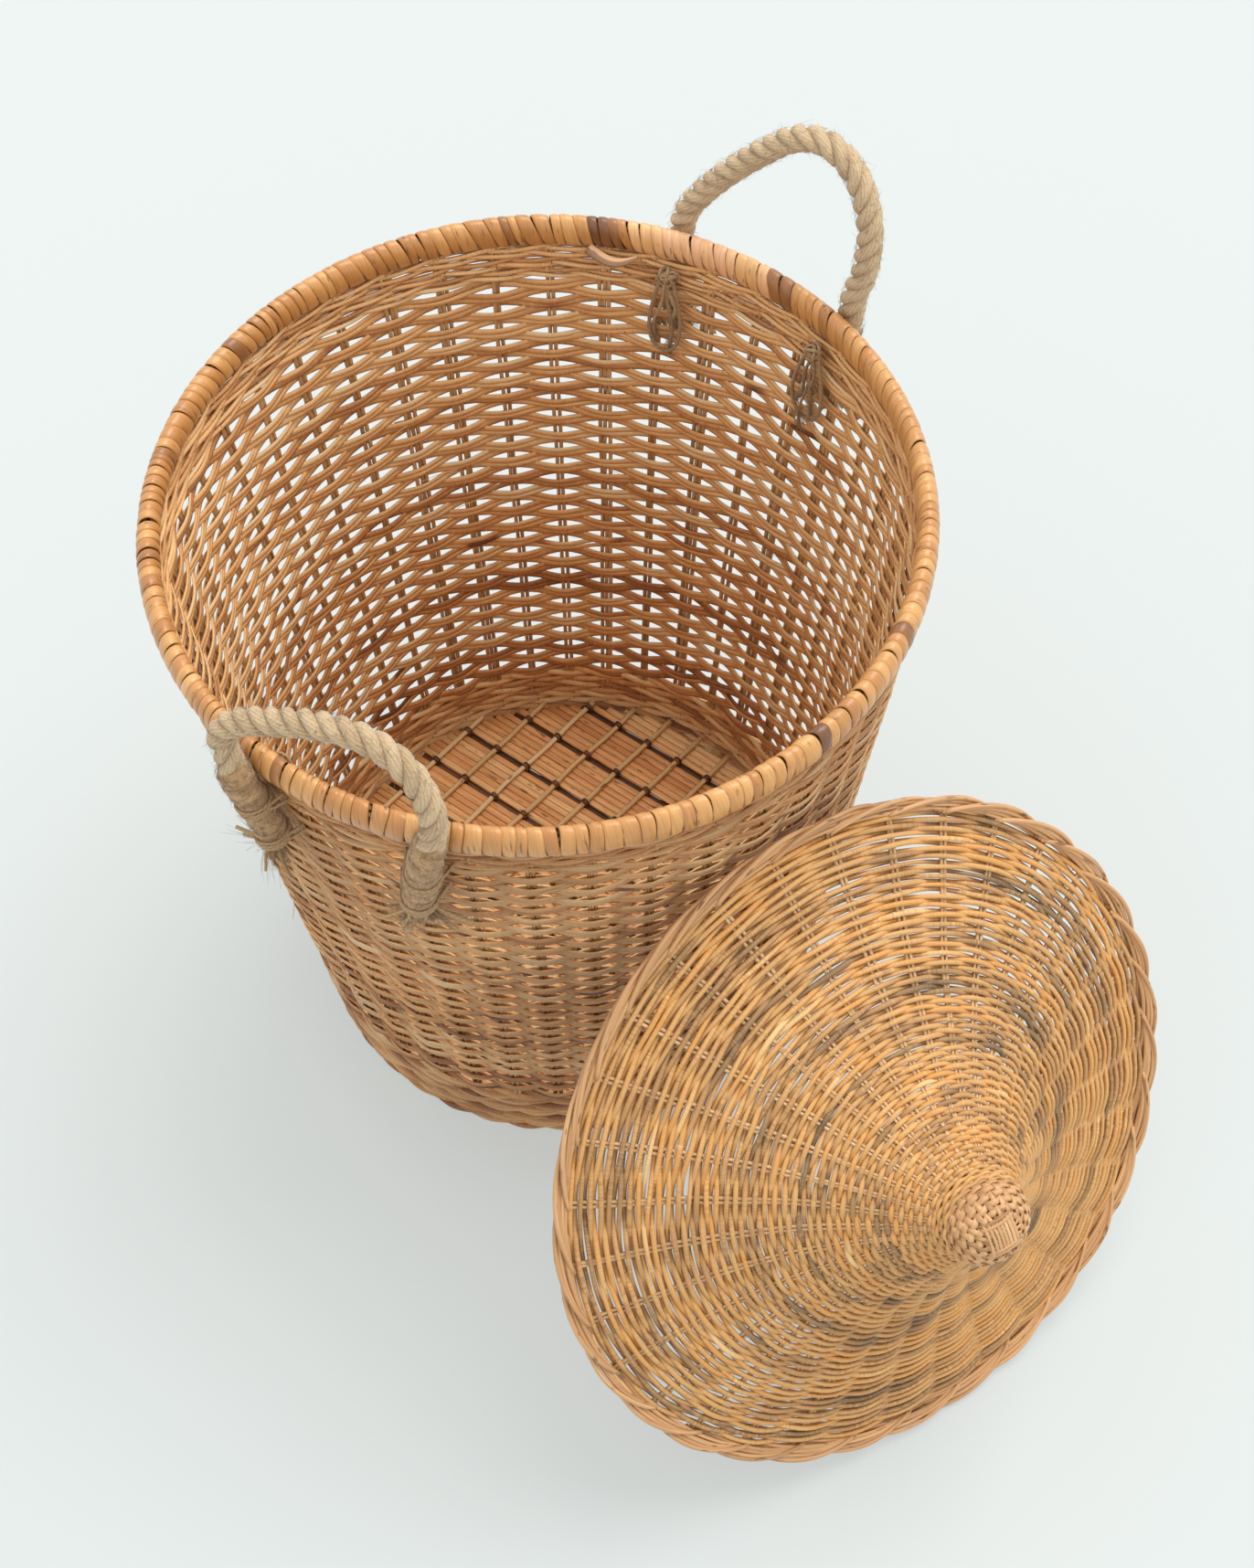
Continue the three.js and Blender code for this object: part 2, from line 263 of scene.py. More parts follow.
def drift(rng: Random, count: int, reach: float) -> Array:
    """Draw values that wander slowly from one strand to the next: chance, smoothed by a bell curve.

    Args:
        rng: the source of chance.
        count: how many values.
        reach: over about how many strands they are smoothed.

    Returns:
        The values, of about -1 to 1.
    """
    raw = rng.normal(size=count + 8)
    kernel = np.exp(-((np.arange(9) - 4) ** 2) / (2 * reach**2))
    smooth = np.convolve(raw, kernel / np.sqrt(np.sum(kernel**2)), mode="valid")
    return smooth[:count]


def make_piece(
    name: str,
    surface: Surface,
    material: Material,
    body: Body | None = None,
    replaces: tuple[str, ...] = (),
) -> bpy.types.Object:
    """Put a surface into a mesh object, dress it, and let it ride on its body.

    Args:
        name: the piece's name.
        surface: its arrays.
        material: its finish.
        body: the body it rides on, or None for a piece that rides on no body.
        replaces: the frame's nodes that it stands for.

    Returns:
        The new object.
    """
    mesh = bpy.data.meshes.new(name)
    groups = [surface.quads, *surface.caps]
    corners = np.concatenate([g.ravel() for g in groups]).astype(np.int32)
    totals = np.concatenate([np.full(len(g), g.shape[1]) for g in groups])
    starts = np.concatenate([[0], np.cumsum(totals)[:-1]]).astype(np.int32)
    mesh.vertices.add(len(surface.points))
    mesh.vertices.foreach_set("co", surface.points.astype(np.float32).ravel())
    mesh.loops.add(len(corners))
    mesh.loops.foreach_set("vertex_index", corners)
    mesh.polygons.add(len(starts))
    mesh.polygons.foreach_set("loop_start", starts)
    strand = mesh.attributes.new("strand", "FLOAT_VECTOR", "POINT")
    strand.data.foreach_set("vector", surface.strand.astype(np.float32).ravel())
    tint = mesh.attributes.new("tint", "FLOAT", "POINT")
    tint.data.foreach_set("value", surface.tint.astype(np.float32))
    mesh.update(calc_edges=True)
    mesh.shade_smooth()
    piece = bpy.data.objects.new(name, mesh)
    bpy.context.scene.collection.objects.link(piece)
    mesh.materials.append(material)
    if replaces:
        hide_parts(*replaces)
    if body is not None:
        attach(piece, body.value)
    LOG.info("%s: %d triangles", name, surface.triangles)
    return piece


# ---- finishes ----


def srgb(red: float, green: float, blue: float) -> Colour:
    """Turn a display colour into the linear colour that a shader takes.

    A small display value v becomes v / 12.92, and any other ((v + 0.055) / 1.055)^2.4.

    Args:
        red: red, from 0 to 255.
        green: green, likewise.
        blue: blue, likewise.

    Returns:
        The linear colour, with an alpha of one.
    """
    display = np.array([red, green, blue]) / 255
    linear = np.where(display <= 0.04045, display / 12.92, ((display + 0.055) / 1.055) ** 2.4)
    return (*(float(c) for c in linear), 1.0)


class Nodes:
    """A node tree under construction, with short ways to add and link nodes."""

    def __init__(self, tree: bpy.types.NodeTree) -> None:
        """Start on a tree, emptied of its nodes."""
        self.tree = tree
        tree.nodes.clear()

    def feed(self, node: bpy.types.Node, inputs: dict) -> None:
        """Fill a node's inputs.

        Args:
            node: the node.
            inputs: for each input's name or number, a socket to link from or a value to set.
        """
        for key, value in inputs.items():
            if isinstance(value, Socket):
                self.tree.links.new(value, node.inputs[key])
            else:
                node.inputs[key].default_value = value

    def add(self, kind: str, inputs: dict | None = None, **settings: object) -> bpy.types.Node:
        """Add a node.

        Args:
            kind: the node's type, such as ShaderNodeMath.
            inputs: what fills its inputs, as feed takes it.
            settings: the node's own properties.

        Returns:
            The node.
        """
        node = self.tree.nodes.new(kind)
        for key, value in settings.items():
            setattr(node, key, value)
        self.feed(node, inputs or {})
        return node

    def read(self, attribute: str, output: str) -> Socket:
        """Read one of the mesh's attributes and return the named output."""
        return self.add("ShaderNodeAttribute", attribute_name=attribute).outputs[output]

    def noise(self, place: Socket, scale: Socket | float, detail: float, **more: float) -> Socket:
        """Add a Noise Texture at a place and return its value."""
        inputs = {"Vector": place, "Scale": scale, "Detail": detail, **more}
        return self.add("ShaderNodeTexNoise", inputs).outputs["Fac"]

    def math(self, operation: str, *values: Socket | float) -> Socket:
        """Add a Math node on the given values or sockets and return its result."""
        return self.add("ShaderNodeMath", dict(enumerate(values)), operation=operation).outputs[0]

    def scaled(self, vector: Socket, factors: Socket | tuple[float, float, float]) -> Socket:
        """Multiply a vector, part by part, and return the result."""
        return self.add("ShaderNodeVectorMath", {0: vector, 1: factors}, operation="MULTIPLY").outputs[0]

    def ramp(self, factor: Socket, stops: Stops) -> Socket:
        """Add a Color Ramp.

        Args:
            factor: the socket that picks the colour.
            stops: each stop's position and colour.

        Returns:
            The colour's socket.
        """
        node = self.add("ShaderNodeValToRGB", {"Fac": factor})
        elements = node.color_ramp.elements
        while len(elements) < len(stops):
            elements.new(1.0)
        for element, (position, colour) in zip(elements, stops):
            element.position = position
            element.color = colour
        return node.outputs["Color"]

    def mix(
        self, factor: Socket | float, first: Socket, other: Socket | Colour, blend: str = "MIX"
    ) -> Socket:
        """Mix two colours, each a socket or a value, and return the result."""
        inputs = {0: factor, 6: first, 7: other}
        return self.add("ShaderNodeMix", inputs, data_type="RGBA", blend_type=blend).outputs[2]

    def spread(self, value: Socket, low: float, high: float, to_low: float, to_high: float) -> Socket:
        """Map a value from one range to another, held at its ends, and return the result."""
        values = {"Value": value, "From Min": low, "From Max": high, "To Min": to_low, "To Max": to_high}
        return self.add("ShaderNodeMapRange", values).outputs["Result"]


def group_tree(
    name: str, inputs: tuple[tuple[str, str], ...], outputs: tuple[tuple[str, str], ...]
) -> tuple[Nodes, bpy.types.Node, bpy.types.Node]:
    """Start a shader node group.

    Args:
        name: the group's name.
        inputs: (name, socket type) of each input.
        outputs: (name, socket type) of each output.

    Returns:
        The group's nodes, its input node and its output node.
    """
    tree = bpy.data.node_groups.new(name, "ShaderNodeTree")
    for side, sockets in (("INPUT", inputs), ("OUTPUT", outputs)):
        for label, kind in sockets:
            tree.interface.new_socket(name=label, in_out=side, socket_type=kind)
    nodes = Nodes(tree)
    return nodes, nodes.add("NodeGroupInput"), nodes.add("NodeGroupOutput")


NUMBER = "NodeSocketFloat"
VECTOR = "NodeSocketVector"


def cane_fibre_group() -> bpy.types.NodeTree:
    """Make the group that gives split and round cane its fibres.

    Tone is the strand's tint, shifted slowly along the strand. Fibre is fine noise stretched along it.
    Mark picks out short dark nicks, and Height is the relief of the fibres.

    Returns:
        The node group.
    """
    nodes, given, result = group_tree(
        "cane_fibre",
        (("Strand", VECTOR), ("Tint", NUMBER), ("Drift", NUMBER), ("Fineness", NUMBER)),
        (("Tone", NUMBER), ("Fibre", NUMBER), ("Mark", NUMBER), ("Height", NUMBER)),
    )
    tint, fineness = given.outputs["Tint"], given.outputs["Fineness"]
    shift = nodes.add("ShaderNodeCombineXYZ", {"Z": nodes.math("MULTIPLY", tint, 37.0)})
    apart = nodes.add("ShaderNodeVectorMath", {0: given.outputs["Strand"], 1: shift.outputs[0]}).outputs[0]
    slow = nodes.math("SUBTRACT", nodes.noise(nodes.scaled(apart, (14.0, 30.0, 30.0)), 1.0, 2.0), 0.5)
    tone = nodes.math("ADD", tint, nodes.math("MULTIPLY", slow, given.outputs["Drift"]))
    fine = nodes.add("ShaderNodeCombineXYZ", {"X": 34.0, "Y": fineness, "Z": fineness})
    fibre = nodes.noise(nodes.scaled(apart, fine.outputs[0]), 1.0, 4.0)
    nicks = nodes.noise(nodes.scaled(apart, (90.0, 420.0, 420.0)), 1.0, 1.0)
    mark = nodes.spread(nicks, 0.66, 0.74, 0.0, 1.0)
    height = nodes.math("SUBTRACT", fibre, nodes.math("MULTIPLY", mark, 0.3))
    nodes.feed(result, {"Tone": tone, "Fibre": fibre, "Mark": mark, "Height": height})
    return nodes.tree


def weather_and_shade_group() -> bpy.types.NodeTree:
    """Make the group that greys and darkens the side of a strand that looks outwards, in uneven patches:
    weathering, with painted shade on that side.

    Returns:
        The node group, whose Mask is 0 on clean cane and up to Amount where weathering and painted shade lie.
    """
    nodes, given, result = group_tree(
        "weather_and_shade", (("Strand", VECTOR), ("Amount", NUMBER), ("Patches", NUMBER)), (("Mask", NUMBER),)
    )
    outwards = nodes.add("ShaderNodeSeparateXYZ", {0: given.outputs["Strand"]}).outputs["Z"]
    facing = nodes.spread(outwards, -0.3 * MM, 0.6 * MM, 0.0, 1.0)
    place = nodes.add("ShaderNodeTexCoord").outputs["Object"]
    patches = nodes.spread(nodes.noise(place, given.outputs["Patches"], 3.0), 0.36, 0.62, 0.55, 1.0)
    mask = nodes.math("MULTIPLY", nodes.math("MULTIPLY", facing, patches), given.outputs["Amount"])
    nodes.feed(result, {"Mask": mask})
    return nodes.tree


def jute_yarn_group() -> bpy.types.NodeTree:
    """Make the group that gives jute its spun yarns and loose fibres.

    The yarns are ridges sin(count * angle + pitch * along), with the angle taken round the strand, broken
    up by noise that is stretched along them. Shade is the fibres' tone with painted shade, lighter on the
    ridges and darker in the grooves between yarns, and Height is their relief with the fibres' on top.

    Returns:
        The node group.
    """
    nodes, given, result = group_tree(
        "jute_yarn",
        (("Strand", VECTOR), ("Count", NUMBER), ("Pitch", NUMBER)),
        (("Shade", NUMBER), ("Height", NUMBER)),
    )
    parts = nodes.add("ShaderNodeSeparateXYZ", {0: given.outputs["Strand"]}).outputs
    angle = nodes.math("ARCTAN2", parts["Z"], parts["Y"])
    place = nodes.add("ShaderNodeTexCoord").outputs["Object"]
    fuzz = nodes.noise(place, 900.0, 5.0, Roughness=0.65)
    hair = nodes.noise(place, 260.0, 3.0, Distortion=1.6)
    round_strand = nodes.math("MULTIPLY", angle, given.outputs["Count"])
    along_strand = nodes.math("MULTIPLY", parts["X"], given.outputs["Pitch"])
    winding = nodes.math("ADD", round_strand, along_strand)
    loose = nodes.math("ADD", winding, nodes.math("MULTIPLY", hair, 3.0))
    ridge = nodes.math("MULTIPLY_ADD", nodes.math("SINE", loose), 0.5, 0.5)
    laid = nodes.add("ShaderNodeCombineXYZ", {"X": nodes.math("MULTIPLY", parts["X"], 70.0), "Y": loose})
    streak = nodes.noise(laid.outputs[0], 1.3, 3.0)
    mixed = nodes.math("MULTIPLY_ADD", streak, 0.45, nodes.math("MULTIPLY", fuzz, 0.4))
    # the ridge term paints shade into the grooves between yarns
    shade = nodes.math("MULTIPLY_ADD", ridge, 0.15, mixed)
    height = nodes.math("MULTIPLY_ADD", ridge, 0.22, nodes.math("MULTIPLY_ADD", streak, 0.5, fuzz))
    nodes.feed(result, {"Shade": shade, "Height": height})
    return nodes.tree


def new_material(name: str) -> tuple[Material, Nodes, Socket, Socket]:
    """Start the material of a swept piece.

    Args:
        name: its name.

    Returns:
        The material, its nodes, and the sockets of the attributes "strand" and "tint".
    """
    material = bpy.data.materials.new(name)
    material.use_nodes = True
    nodes = Nodes(material.node_tree)
    return material, nodes, nodes.read("strand", "Vector"), nodes.read("tint", "Fac")


def finish_shader(nodes: Nodes, relief: dict, inputs: dict) -> None:
    """Close a material with its relief and its surface shader.

    Args:
        nodes: the material's nodes.
        relief: the Bump node's height, strength and distance.
        inputs: the Principled BSDF's inputs, apart from the normal.
    """
    bump = nodes.add("ShaderNodeBump", relief)
    shader = nodes.add("ShaderNodeBsdfPrincipled", {**inputs, "Normal": bump.outputs[0]})
    nodes.add("ShaderNodeOutputMaterial", {"Surface": shader.outputs[0]})


@dataclass(frozen=True)
class CaneFinish:
    """The finish of one kind of cane: a run of colours along the tint, fibres, weathering with painted shade
    on the outward side, and gloss.

    drift is how far the tint wanders along a strand, fineness the fibres' number across a metre, and
    contrast their depth of tone. marks is the strength of the dark nicks, and edge_shade the width, if
    any, of the painted shade along a band's covered edge.
    """

    name: str
    stops: Stops
    drift: float = 0.35
    fineness: float = 1500.0
    contrast: float = 0.34
    marks: float = 0.7
    mark_colour: Colour = srgb(78, 48, 26)
    # strength of the outward side's weathering and painted shade, from 0 to 1
    weather_and_shade: float = 0.0
    weather_and_shade_colour: Colour = srgb(150, 128, 104)
    patches: float = 14.0
    roughness: tuple[float, float] = (0.42, 0.62)
    relief: float = 0.35
    coat: float = 0.0
    edge_shade: float = 0.0

    def build(self, groups: Groups) -> Material:
        """Make the material.

        Args:
            groups: the shared node groups by name.

        Returns:
            The material.
        """
        material, nodes, strand, tint = new_material(self.name)
        inputs = {"Strand": strand, "Tint": tint, "Drift": self.drift, "Fineness": self.fineness}
        fibre = nodes.add("ShaderNodeGroup", inputs, node_tree=groups["cane_fibre"]).outputs
        inputs = {"Strand": strand, "Amount": self.weather_and_shade, "Patches": self.patches}
        weather_and_shade = nodes.add("ShaderNodeGroup", inputs, node_tree=groups["weather_and_shade"]).outputs
        colour = nodes.ramp(fibre["Tone"], self.stops)
        # the outward side is multiplied darker and greyer: weathering, and painted shade
        colour = nodes.mix(weather_and_shade["Mask"], colour, self.weather_and_shade_colour, "MULTIPLY")
        light = nodes.spread(fibre["Fibre"], 0.3, 0.7, 1 - self.contrast, 1 + 0.4 * self.contrast)
        grey = nodes.add("ShaderNodeCombineColor", {"Red": light, "Green": light, "Blue": light})
        colour = nodes.mix(1.0, colour, grey.outputs[0], "MULTIPLY")
        nicks_and_edge_shade = nodes.math("MULTIPLY", fibre["Mark"], self.marks)
        # painted shade along the band's covered edge, drawn in the nick colour
        if self.edge_shade:
            edge = nodes.add("ShaderNodeSeparateXYZ", {0: strand}).outputs["Y"]
            nicks_and_edge_shade = nodes.math("MAXIMUM", nicks_and_edge_shade, nodes.spread(edge, 0.0, self.edge_shade, 0.7, 0.0))
        finish_shader(
            nodes,
            {"Height": fibre["Height"], "Strength": self.relief, "Distance": 0.4 * MM},
            {
                "Base Color": nodes.mix(nicks_and_edge_shade, colour, self.mark_colour),
                "Roughness": nodes.spread(fibre["Fibre"], 0.3, 0.7, self.roughness[1], self.roughness[0]),
                "IOR": 1.48,
                "Coat Weight": self.coat,
                "Coat Roughness": 0.28,
            },
        )
        return material


@dataclass(frozen=True)
class JuteFinish:
    """The finish of jute: pale and dark fibre colours, and how its yarns wind."""

    name: str
    pale: Colour
    dark: Colour
    count: float = 11.0
    pitch: float = 2300.0
    relief: float = 0.8
    depth: float = 0.0007

    def build(self, groups: Groups) -> Material:
        """Make the material.

        Args:
            groups: the shared node groups by name.

        Returns:
            The material.
        """
        material, nodes, strand, tint = new_material(self.name)
        inputs = {"Strand": strand, "Count": self.count, "Pitch": self.pitch}
        yarn = nodes.add("ShaderNodeGroup", inputs, node_tree=groups["jute_yarn"]).outputs
        blend = nodes.math("ADD", yarn["Shade"], nodes.spread(tint, 0.0, 1.0, -0.3, 0.3))
        finish_shader(
            nodes,
            {"Height": yarn["Height"], "Strength": self.relief, "Distance": self.depth},
            {
                "Base Color": nodes.ramp(blend, ((0.2, self.dark), (0.72, self.pale))),
                "Roughness": nodes.spread(yarn["Shade"], 0.2, 0.8, 0.98, 0.8),
                "Sheen Weight": 0.25,
                "Specular IOR Level": 0.2,
            },
        )
        return material


WALL_CANE = CaneFinish(
    "wall_cane",
    (
        (0.0, srgb(120, 72, 40)),
        (0.22, srgb(194, 132, 80)),
        (0.5, srgb(243, 186, 122)),
        (0.78, srgb(248, 204, 146)),
        (1.0, srgb(250, 214, 162)),
    ),
    contrast=0.42,
    weather_and_shade=1.0,
    weather_and_shade_colour=srgb(200, 190, 186),
)
STAKE_CANE = CaneFinish(
    "stake_cane",
    ((0.0, srgb(150, 104, 62)), (0.5, srgb(204, 156, 102)), (1.0, srgb(230, 190, 140))),
    weather_and_shade=0.5,
    weather_and_shade_colour=srgb(190, 186, 180),
)
PEEL = CaneFinish(
    "rim_peel",
    (
        (0.0, srgb(92, 58, 34)),
        (0.14, srgb(132, 84, 48)),
        (0.3, srgb(190, 128, 68)),
        (0.6, srgb(216, 158, 92)),
        (0.8, srgb(232, 178, 116)),
        (1.0, srgb(242, 186, 140)),
    ),
    drift=0.3,
    fineness=900.0,
    contrast=0.2,
    marks=0.6,
    roughness=(0.28, 0.42),
    relief=0.22,
    coat=0.4,
    # width of the painted shade along each turn's covered edge
    edge_shade=0.0008,
)
SLAT_CANE = CaneFinish(
    "slat_cane",
    ((0.0, srgb(214, 142, 82)), (0.5, srgb(246, 186, 122)), (1.0, srgb(252, 208, 150))),
    drift=0.5,
    fineness=1100.0,
    contrast=0.34,
    roughness=(0.38, 0.55),
)
STRAW = CaneFinish(
    "straw_cane",
    ((0.0, srgb(196, 156, 102)), (0.5, srgb(226, 190, 134)), (1.0, srgb(240, 210, 160))),
    contrast=0.24,
)
RIB_CANE = CaneFinish(
    "rib_cane",
    ((0.0, srgb(190, 146, 98)), (0.5, srgb(222, 182, 132)), (1.0, srgb(238, 206, 160))),
    contrast=0.24,
)
# dark cane of the binding rings, and of the painted shade strips under the floor's gaps
BINDING_AND_GAP_SHADE = CaneFinish(
    "dark_binding_and_gap_shade",
    ((0.0, srgb(74, 44, 26)), (1.0, srgb(136, 86, 50))),
    contrast=0.3,
)
LID_CANE = CaneFinish(
    "lid_cane",
    (
        (0.0, srgb(112, 88, 62)),
        (0.2, srgb(156, 122, 84)),
        (0.4, srgb(198, 146, 90)),
        (0.6, srgb(224, 174, 110)),
        (0.8, srgb(217, 150, 74)),
        (1.0, srgb(240, 198, 136)),
    ),
    drift=0.85,
    fineness=1300.0,
    contrast=0.26,
    marks=0.6,
    roughness=(0.34, 0.52),
)
BORDER_CANE = CaneFinish(
    "border_cane",
    ((0.0, srgb(150, 110, 74)), (0.5, srgb(206, 156, 106)), (1.0, srgb(228, 182, 130))),
    contrast=0.26,
    roughness=(0.34, 0.52),
)
ROPE_JUTE = JuteFinish("rope_jute", srgb(244, 214, 172), srgb(172, 140, 101), relief=1.0, depth=0.0011)
SLEEVE_JUTE = JuteFinish(
    "sleeve_jute", srgb(212, 172, 124), srgb(130, 96, 60), count=2.0, pitch=400.0, relief=1.0
)
TWINE_JUTE = JuteFinish("twine_jute", srgb(196, 160, 116), srgb(118, 90, 60), count=2.0, pitch=1900.0)


# ---- the basket ----


@dataclass(frozen=True)
class BasketLines:
    """The basket's own lines: the axis that it is turned about, and the wall's middle surface."""

    axis: Array
    foot_radius: float = 163 * MM
    top_radius: float = 220.6 * MM
    top_height: float = 428.2 * MM
    thickness: float = 8 * MM

    def outside(self, height: Values) -> Values:
        """The wall's outside radius at a height: a straight cone from foot to rim."""
        return self.foot_radius + (self.top_radius - self.foot_radius) * height / self.top_height

    def middle(self, height: Values) -> Values:
        """The radius halfway through the wall at a height."""
        return self.outside(height) - self.thickness / 2

    def place(self, angle: Array, radius: Array, height: Array) -> Array:
        """The point at an angle, radius and height: axis + radius * (cos, sin) and the height."""
        angle, radius, height = np.broadcast_arrays(angle, radius, height)
        return np.stack([radius * np.cos(angle), radius * np.sin(angle), height], axis=-1) + self.axis

    def facing(self, angle: Array) -> Array:
        """Find the direction that the wall's outside looks: outwards, and down by the wall's slope.

        Args:
            angle: the angles round the axis.

        Returns:
            The directions, of length one.
        """
        slope = np.arctan((self.top_radius - self.foot_radius) / self.top_height)
        level = np.stack([np.cos(angle), np.sin(angle), np.zeros_like(angle)], axis=-1)
        return level * np.cos(slope) - UP * np.sin(slope)


@dataclass
class Wall:
    """The upright canes and the strips woven in front of and behind them.

    top_rows and base_rows hold the first height, the last and the pitch of the rows of twining.
    """

    lines: BasketLines
    stakes: int = 40
    samples: int = 6
    row_bottom: float = 59 * MM
    row_top: float = 404.5 * MM
    row_pitch: float = 6.9 * MM
    strip_half_width: float = 2.0 * MM
    strip_half_thickness: float = 0.65 * MM
    swing: float = 2.9 * MM
    stake_radius: float = 1.4 * MM
    stake_spacing: float = 2.8 * MM
    stake_bottom: float = 12 * MM
    stake_top: float = 437 * MM
    sliver_count: int = 46
    top_rows: tuple[float, float, float] = (406.5 * MM, 428 * MM, 4.1 * MM)
    top_strand: float = 1.55 * MM
    base_rows: tuple[float, float, float] = (3.3 * MM, 57 * MM, 5.3 * MM)
    base_strand: float = 2.35 * MM
    base_inset: float = 3.4 * MM
    seed: int = 11

    def sway(self, angle: Array, height: Array) -> Array:
        """Find how far the whole weave is pushed up or down at a place, by three long slanted waves.

        Args:
            angle: the angles round the axis.
            height: the heights.

        Returns:
            The push upwards.
        """
        return MM * (
            1.5 * np.sin(3 * angle + 16 * height + 0.6)
            + 0.9 * np.sin(7 * angle - 31 * height + 2.1)
            + 0.5 * np.sin(12 * angle + 47 * height)
        )

    def rows(self, rng: Random, heights: Array, first: int) -> Surface:
        """Weave rows of two flat strips each.

        A row's radius is middle + swing * cos(stakes / 2 * angle + row * pi), so it passes outside one
        stake and inside the next, and neighbouring rows do the opposite.

        Args:
            rng: the source of chance.
            heights: the rows' heights.
            first: the number of the first row, which says which stakes it passes outside.

        Returns:
            The strips' surface.
        """
        angle = np.linspace(0, TURN, self.stakes * self.samples, endpoint=False)
        row = np.repeat(np.arange(len(heights)), 2)
        upper = np.tile([-1.0, 1.0], len(heights))
        level = heights[row] + upper * self.strip_half_width * 0.9
        height = level[:, None] + self.sway(angle, level[:, None])
        height += 0.35 * MM * waves(rng, len(row), angle, range(5, 30, 3))
        phase = self.stakes / 2 * angle + np.pi * (row[:, None] + first)
        swing = self.swing + 0.25 * MM * waves(rng, len(row), angle, range(3, 40, 5))
        radius = self.lines.middle(level)[:, None] + swing * np.cos(phase)
        radius += upper[:, None] * 0.25 * MM * np.sin(phase + 1.2)
        width = self.strip_half_width * (1 + 0.13 * waves(rng, len(row), angle, range(2, 14, 2)))
        tint = 0.52 + 0.12 * drift(rng, len(row), 2.0) + 0.13 * rng.normal(size=len(row))
        stain = np.clip(waves(rng, len(row), angle, range(2, 22, 3)) - 1.7, 0, 1)
        tint = tint[:, None] + 0.13 * waves(rng, len(row), angle, range(1, 9)) - 1.1 * stain
        return sweep(
            self.lines.place(angle, radius, height),
            self.lines.facing(angle),
            np.maximum(width, self.strip_half_width * 0.7),
            self.strip_half_thickness,
            tint,
            closed=True,
            squareness=0.55,
        )

    def uprights(self, rng: Random) -> Surface:
        """Stand the upright canes in pairs, now and then in threes, along the wall's middle surface.

        Args:
            rng: the source of chance.

        Returns:
            The canes' surface.
        """
        height = np.linspace(self.stake_bottom, self.stake_top, 34)
        canes = np.where(rng.random(self.stakes) < 0.22, 3, 2)
        place = np.repeat(np.arange(self.stakes), canes)
        number = np.arange(len(place)) - np.repeat(np.cumsum(canes) - canes, canes)
        offset = number - (canes[place] - 1) / 2
        spacing = self.stake_spacing * offset * rng.uniform(0.9, 1.15, self.stakes)[place]
        angle = (TURN / self.stakes * place)[:, None] + spacing[:, None] / self.lines.middle(height)
        wobble = 0.5 * MM * waves(rng, len(place), TURN * height / 0.45, range(1, 5))
        angle = angle + wobble / self.lines.middle(height)
        paths = self.lines.place(angle, self.lines.middle(height), height)
        tint = 0.45 + 0.2 * rng.normal(size=len(place))
        return sweep(paths, self.lines.facing(angle), self.stake_radius, 1.5 * MM, tint, squareness=1.0)

    def slivers(self, rng: Random, count: int) -> Surface:
        """Let thin slivers of cane come loose from the wall, inside and outside.

        A sliver starts in the weave and leaves it along its row: its distance from the wall's middle
        grows as the square of its way.

        Args:
            rng: the source of chance.
            count: how many slivers.

        Returns:
            The slivers' surface.
        """
        t = np.linspace(0, 1, 8)
        side = rng.choice([-1.0, 1.0], (count, 1), p=[0.72, 0.28])
        start = rng.uniform(70, 420, (count, 1)) * MM
        length = rng.uniform(14, 34, (count, 1)) * MM
        way = rng.choice([-1.0, 1.0], (count, 1))
        radius = self.lines.middle(start) + side * (2.5 * MM + rng.uniform(1, 7, (count, 1)) * MM * t**2)
        angle = rng.uniform(0, TURN, (count, 1)) + way * length * t / radius
        height = start + rng.normal(0, 4, (count, 1)) * MM * t**1.5
        width = rng.uniform(0.25, 0.7, (count, 1)) * MM * (1 - 0.75 * t)
        paths = self.lines.place(angle, radius, height)
        facing = self.lines.facing(angle)
        return sweep(paths, facing, width, 0.2 * MM, rng.uniform(0.3, 0.9, count), sides=5, squareness=1.0)

    def twined(
        self, rng: Random, heights: Array, radius: Array, size: float, swing: float, tint: float
    ) -> Surface:
        """Twine pairs of round strands round the stakes.

        The two strands of a row turn about each other: with the phase f = stakes / 2 * angle + strand * pi,
        the radius is radius + swing * cos(f) and the height is height + lift * sin(f). Rows alternate hands.

        Args:
            rng: the source of chance.
            heights: the rows' heights.
            radius: the rows' middle radii.
            size: a strand's half width.
            swing: how far a strand passes out and in.
            tint: the middle of the rows' tints.

        Returns:
            The strands' surface.
        """
        angle = np.linspace(0, TURN, self.stakes * 8, endpoint=False)
        row = np.repeat(np.arange(len(heights)), 2)
        hand = np.where(row % 2, 1.0, -1.0)[:, None]
        strand = np.tile([0.0, 1.0], len(heights))[:, None]
        phase = self.stakes / 2 * angle + np.pi * strand + 0.9 * row[:, None]
        height = heights[row][:, None] + hand * 0.62 * size * np.sin(phase)
        height += 0.3 * MM * waves(rng, len(row), angle, range(4, 22, 3))
        out = radius[row][:, None] + swing * np.cos(phase)
        out += 0.2 * MM * waves(rng, len(row), angle, range(3, 30, 4))
        tints = tint + 0.16 * rng.normal(size=len(row))[:, None]
        tints = tints + 0.12 * waves(rng, len(row), angle, range(1, 7))
        return sweep(
            self.lines.place(angle, out, np.maximum(height, size + 0.2 * MM)),
            self.lines.facing(angle),
            size * (1 + 0.1 * waves(rng, len(row), angle, range(2, 12, 2))),
            size * 0.85,
            tints,
            closed=True,
            squareness=0.9,
        )

